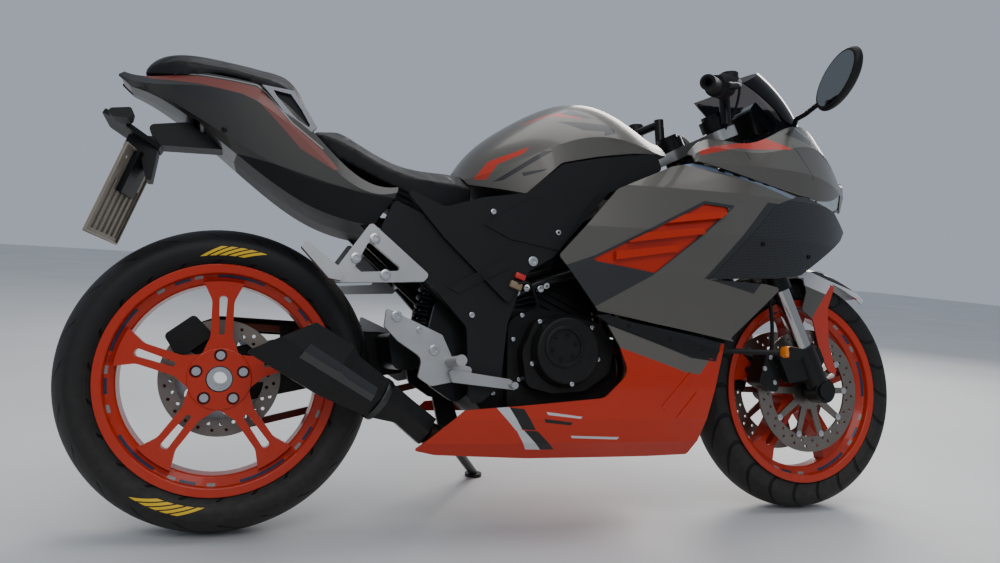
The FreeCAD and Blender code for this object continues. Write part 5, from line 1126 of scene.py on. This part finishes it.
class BIKE_OT_drive(bpy.types.Operator):
    """Makes the clutch cover's ring and its bolts."""
    bl_idname = "bike.drive"
    bl_label = "Clutch cover"

    def execute(self, context):
        mesh = bmesh.new()
        middle = Vector((CLUTCH_X, 0.0, CLUTCH_Z))
        y = touch(("clutch_cover",), CLUTCH_X, CLUTCH_Z)[0].y
        wheel_lathe(mesh, middle, [(44.0, y + 4), (44.0, y - 2.5), (42.5, y - 3.5), (37.0, y - 3.5),
                                   (36.0, y - 2.5), (36.0, y + 4)], 72)
        for k in range(6):
            bolt(mesh, around(middle, 27, 60 * k + 15, y), (0, -1, 0), 4.0, 3.0)
        make_piece("clutch_ring", mesh, "chassis", "cast_black")
        return {"FINISHED"}


# Brakes: where the discs' bobbins and the calipers' bolts stand
DISC_SIDE = 60.0
BOBBIN_R = 112
CALIPER_BOLTS = ((1258.0, 372.0), (1282.0, 352.0), (1268.0, 312.0), (1240.0, 345.0))


class BIKE_OT_brakes(bpy.types.Operator):
    """Seats the discs' bobbins, the front valve stem and the calipers' bolts."""
    bl_idname = "bike.brakes"
    bl_label = "Brakes"

    def execute(self, context):
        mesh = bmesh.new()
        for k in range(10):
            at = around(FRONT_AXLE, BOBBIN_R, 36 * k, -DISC_SIDE)
            rod(mesh, at + Vector((0, 4, 0)), at - Vector((0, 3, 0)), 8.0, edge=0.8)
        both_sides(mesh)
        make_piece("disc_bobbins", mesh, "front_wheel", "steel")
        mesh = bmesh.new()
        rod(mesh, around(FRONT_AXLE, 204.0, 60, 0), around(FRONT_AXLE, 178.0, 60, -16), 4.0, 3.2, 12, 0.5)
        make_piece("valve_stem", mesh, "front_wheel", "black_metal", "steel")
        mesh = bmesh.new()
        for x, z in CALIPER_BOLTS:
            bolt(mesh, *touch(("front_calipers",), x, z), 6.0, 3.5)
        make_piece("caliper_bolts", mesh, "steering", "steel")
        return {"FINISHED"}


class BIKE_OT_engine(bpy.types.Operator):
    """Makes the coloured plugs beside the frame."""
    bl_idname = "bike.engine"
    bl_label = "Plugs"

    def execute(self, context):
        for name, material, slot, (x, z), size in (
                ("red_plug", "red plastic", "red_lens", (583, 528), (22, 14, 12)),
                ("tan_plug", "tan plastic", "black_plastic", (574, 509), (26, 12, 14))):
            mesh = bmesh.new()
            at, _ = touch(("frame", "frame_covers", "crankcase", "cylinder_head", "clutch_cover"), x, z)
            box(mesh, at + Vector((0, -3, 0)), size, 1.5, 20.0)
            make_piece(name, mesh, "chassis", slot, material)
        return {"FINISHED"}


# Cords: name, body, thickness and route
HOSES = (
    ("brake_hose", "steering", 9.0,
     ((1078, -170, 1003), (1104, -158, 960), (1108, -118, 880), (1145, -108, 760), (1206, -108, 620),
      (1262, -104, 480), (1270, -78, 388))),
    ("throttle_cable", "steering", 6.0,
     ((1040, -215, 985), (1075, -215, 1022), (1128, -172, 1010), (1140, -120, 940), (1110, -104, 900))),
    ("loom_wire", "chassis", 6.0, ((576, -180, 512), (598, -186, 520), (622, -160, 500), (640, -140, 470))),
)


def hose(name, body, thick, points, slot="grip_rubber", material="rubber"):
    """A free hose or cable through drawn points."""
    data = bpy.data.curves.new(name, "CURVE")
    data.dimensions = "3D"
    data.bevel_depth = thick / 2 * MM
    data.bevel_resolution = 3
    data.resolution_u = 10
    data.use_fill_caps = True
    spline = data.splines.new("NURBS")
    spline.points.add(len(points) - 1)
    places = [move_of(body) @ Vector(point) for point in points]
    for point, place in zip(spline.points, places):
        point.co = (*place, 1.0)
    spline.order_u = 3
    spline.use_endpoint_u = True
    knots = [places[0]] + [(a + b) / 2 for a, b in zip(places[1:-1], places[2:-1])] + [places[-1]]
    length = 0.0
    for start, bend, end in zip(knots, places[1:-1], knots[1:]):
        run = [start * (1 - t) ** 2 + bend * 2 * t * (1 - t) + end * t * t for t in (k / 16 for k in range(17))]
        length += sum((b - a).length for a, b in zip(run, run[1:]))
    data.materials.append(MATERIALS[material])
    piece = placed(name, data)
    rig.ride(piece, body)
    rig.slot(piece, slot)
    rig.cord(piece, exit=tuple(places[0]), length=length, diameter=thick * MM, far_end="object")


class BIKE_OT_hoses(bpy.types.Operator):
    """Makes the front brake hose, the throttle cable and the wires beside the frame."""
    bl_idname = "bike.hoses"
    bl_label = "Hoses"

    def execute(self, context):
        for cord in HOSES:
            hose(*cord)
        return {"FINISHED"}


# Stage
CAMERA_PLACE = Vector((-0.6670, -1.8310, 0.6205))
CAMERA_YAW = math.radians(18.10)
CAMERA_PITCH = math.radians(-2.847)
CAMERA_ROLL = math.radians(3.86)
CAMERA_LENS = 28.94
SENSOR_WIDTH = 36.0


def set_camera():
    """The camera at the photograph's place and angle."""
    data = bpy.data.cameras.new("camera")
    data.lens = CAMERA_LENS
    data.sensor_width = SENSOR_WIDTH
    data.sensor_fit = "HORIZONTAL"
    data.clip_end = 60.0
    camera = placed("camera", data)
    camera.matrix_world = (Matrix.Translation(CAMERA_PLACE) @ Matrix.Rotation(-CAMERA_YAW, 4, "Z")
                           @ Matrix.Rotation(math.pi / 2 + CAMERA_PITCH, 4, "X")
                           @ Matrix.Rotation(CAMERA_ROLL, 4, "Z"))
    bpy.context.scene.camera = camera


def add_light(name, place, target, size, power, colour=(1.0, 1.0, 1.0)):
    """One soft rectangular lamp aimed at a point."""
    data = bpy.data.lights.new(name, "AREA")
    data.shape = "RECTANGLE"
    data.size, data.size_y = size
    data.energy = power
    data.color = colour
    aim = (Vector(target) - Vector(place)).to_track_quat("-Z", "Y")
    placed(name, data).matrix_world = Matrix.Translation(place) @ aim.to_matrix().to_4x4()


def floor_material():
    """A plain pale floor with a faint unevenness."""
    tree, shader, place = start_material("floor")
    noise = put_node(tree, "ShaderNodeTexNoise", detail=3.0, scale=1.2)
    tree.links.new(place, noise.inputs["Vector"])
    tree.links.new(ramp(tree, noise.outputs[0], 0.3, 0.7, 0.60, 0.66), shader.inputs["Base Color"])
    fill(shader, roughness=0.55)
    return MATERIALS["floor"]


class BIKE_OT_stage(bpy.types.Operator):
    """Sets the floor, the soft lights and the camera."""
    bl_idname = "bike.stage"
    bl_label = "Stage"

    def execute(self, context):
        mesh = bmesh.new()
        bmesh.ops.create_grid(mesh, x_segments=1, y_segments=1, size=14.0)
        floor = meshed("floor", mesh)
        floor.data.materials.append(floor_material())
        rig.stage(floor)
        world = bpy.data.worlds.new("studio")
        world.use_nodes = True
        fill(world.node_tree.nodes["Background"], color=(0.78, 0.87, 1.0, 1.0), strength=0.48)
        context.scene.world = world
        add_light("key", (-1.2, -3.6, 3.2), (0.0, 0.0, 0.5), (3.0, 2.0), 60.0)
        add_light("sky", (0.4, 0.2, 4.2), (0.0, 0.0, 0.4), (4.0, 3.0), 95.0)
        add_light("rim", (2.6, 2.8, 2.6), (0.0, 0.0, 0.6), (2.5, 2.0), 110.0, (1.0, 0.95, 0.88))
        set_camera()
        return {"FINISHED"}


class BIKE_OT_finishes(bpy.types.Operator):
    """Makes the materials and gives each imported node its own."""
    bl_idname = "bike.finishes"
    bl_label = "Finishes"

    def execute(self, context):
        make_finishes()
        make_weave()
        make_glass()
        for end, move, axle, (radius, _), marks in (("rear", BIKE, REAR_AXLE, REAR_TYRE, REAR_MARKS),
                                                    ("front", FORK, FRONT_AXLE, FRONT_TYRE, ())):
            make_tyre_rubber(f"{end} tyre rubber", move, axle, radius, marks)
            make_rim_paint(f"{end} rim paint", move, axle)
        make_painted()
        dress_nodes()
        return {"FINISHED"}


class BIKE_PT_panel(bpy.types.Panel):
    """Lists the bike's pieces in the sidebar."""
    bl_label = "Sport Bike"
    bl_space_type = "VIEW_3D"
    bl_region_type = "UI"
    bl_category = "Sport Bike"

    def draw(self, context):
        for operator in OPERATORS:
            self.layout.operator(operator.bl_idname)


OPERATORS = (BIKE_OT_finishes, BIKE_OT_tyres, BIKE_OT_pads, BIKE_OT_bolts, BIKE_OT_trim, BIKE_OT_controls,
             BIKE_OT_drive, BIKE_OT_brakes, BIKE_OT_engine, BIKE_OT_hoses, BIKE_OT_stage)
CLASSES = (BikeColours, BikeSizes, *OPERATORS, BIKE_PT_panel)


def register():
    for cls in CLASSES:
        bpy.utils.register_class(cls)
    bpy.types.Scene.bike_colours = PointerProperty(type=BikeColours)
    bpy.types.Scene.bike_sizes = PointerProperty(type=BikeSizes)


def unregister():
    del bpy.types.Scene.bike_sizes
    del bpy.types.Scene.bike_colours
    for cls in reversed(CLASSES):
        bpy.utils.unregister_class(cls)


def main():
    register()
    for operator in OPERATORS:
        name = operator.bl_idname.split(".")[1]
        getattr(bpy.ops.bike, name)()
    sizes = {"cad": [list(corner) for corner in CAD_BOX], "visual": [list(corner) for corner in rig.bounds()]}
    with open("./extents.json", "w") as out:
        json.dump(sizes, out)


if __name__ == "__main__":
    main()
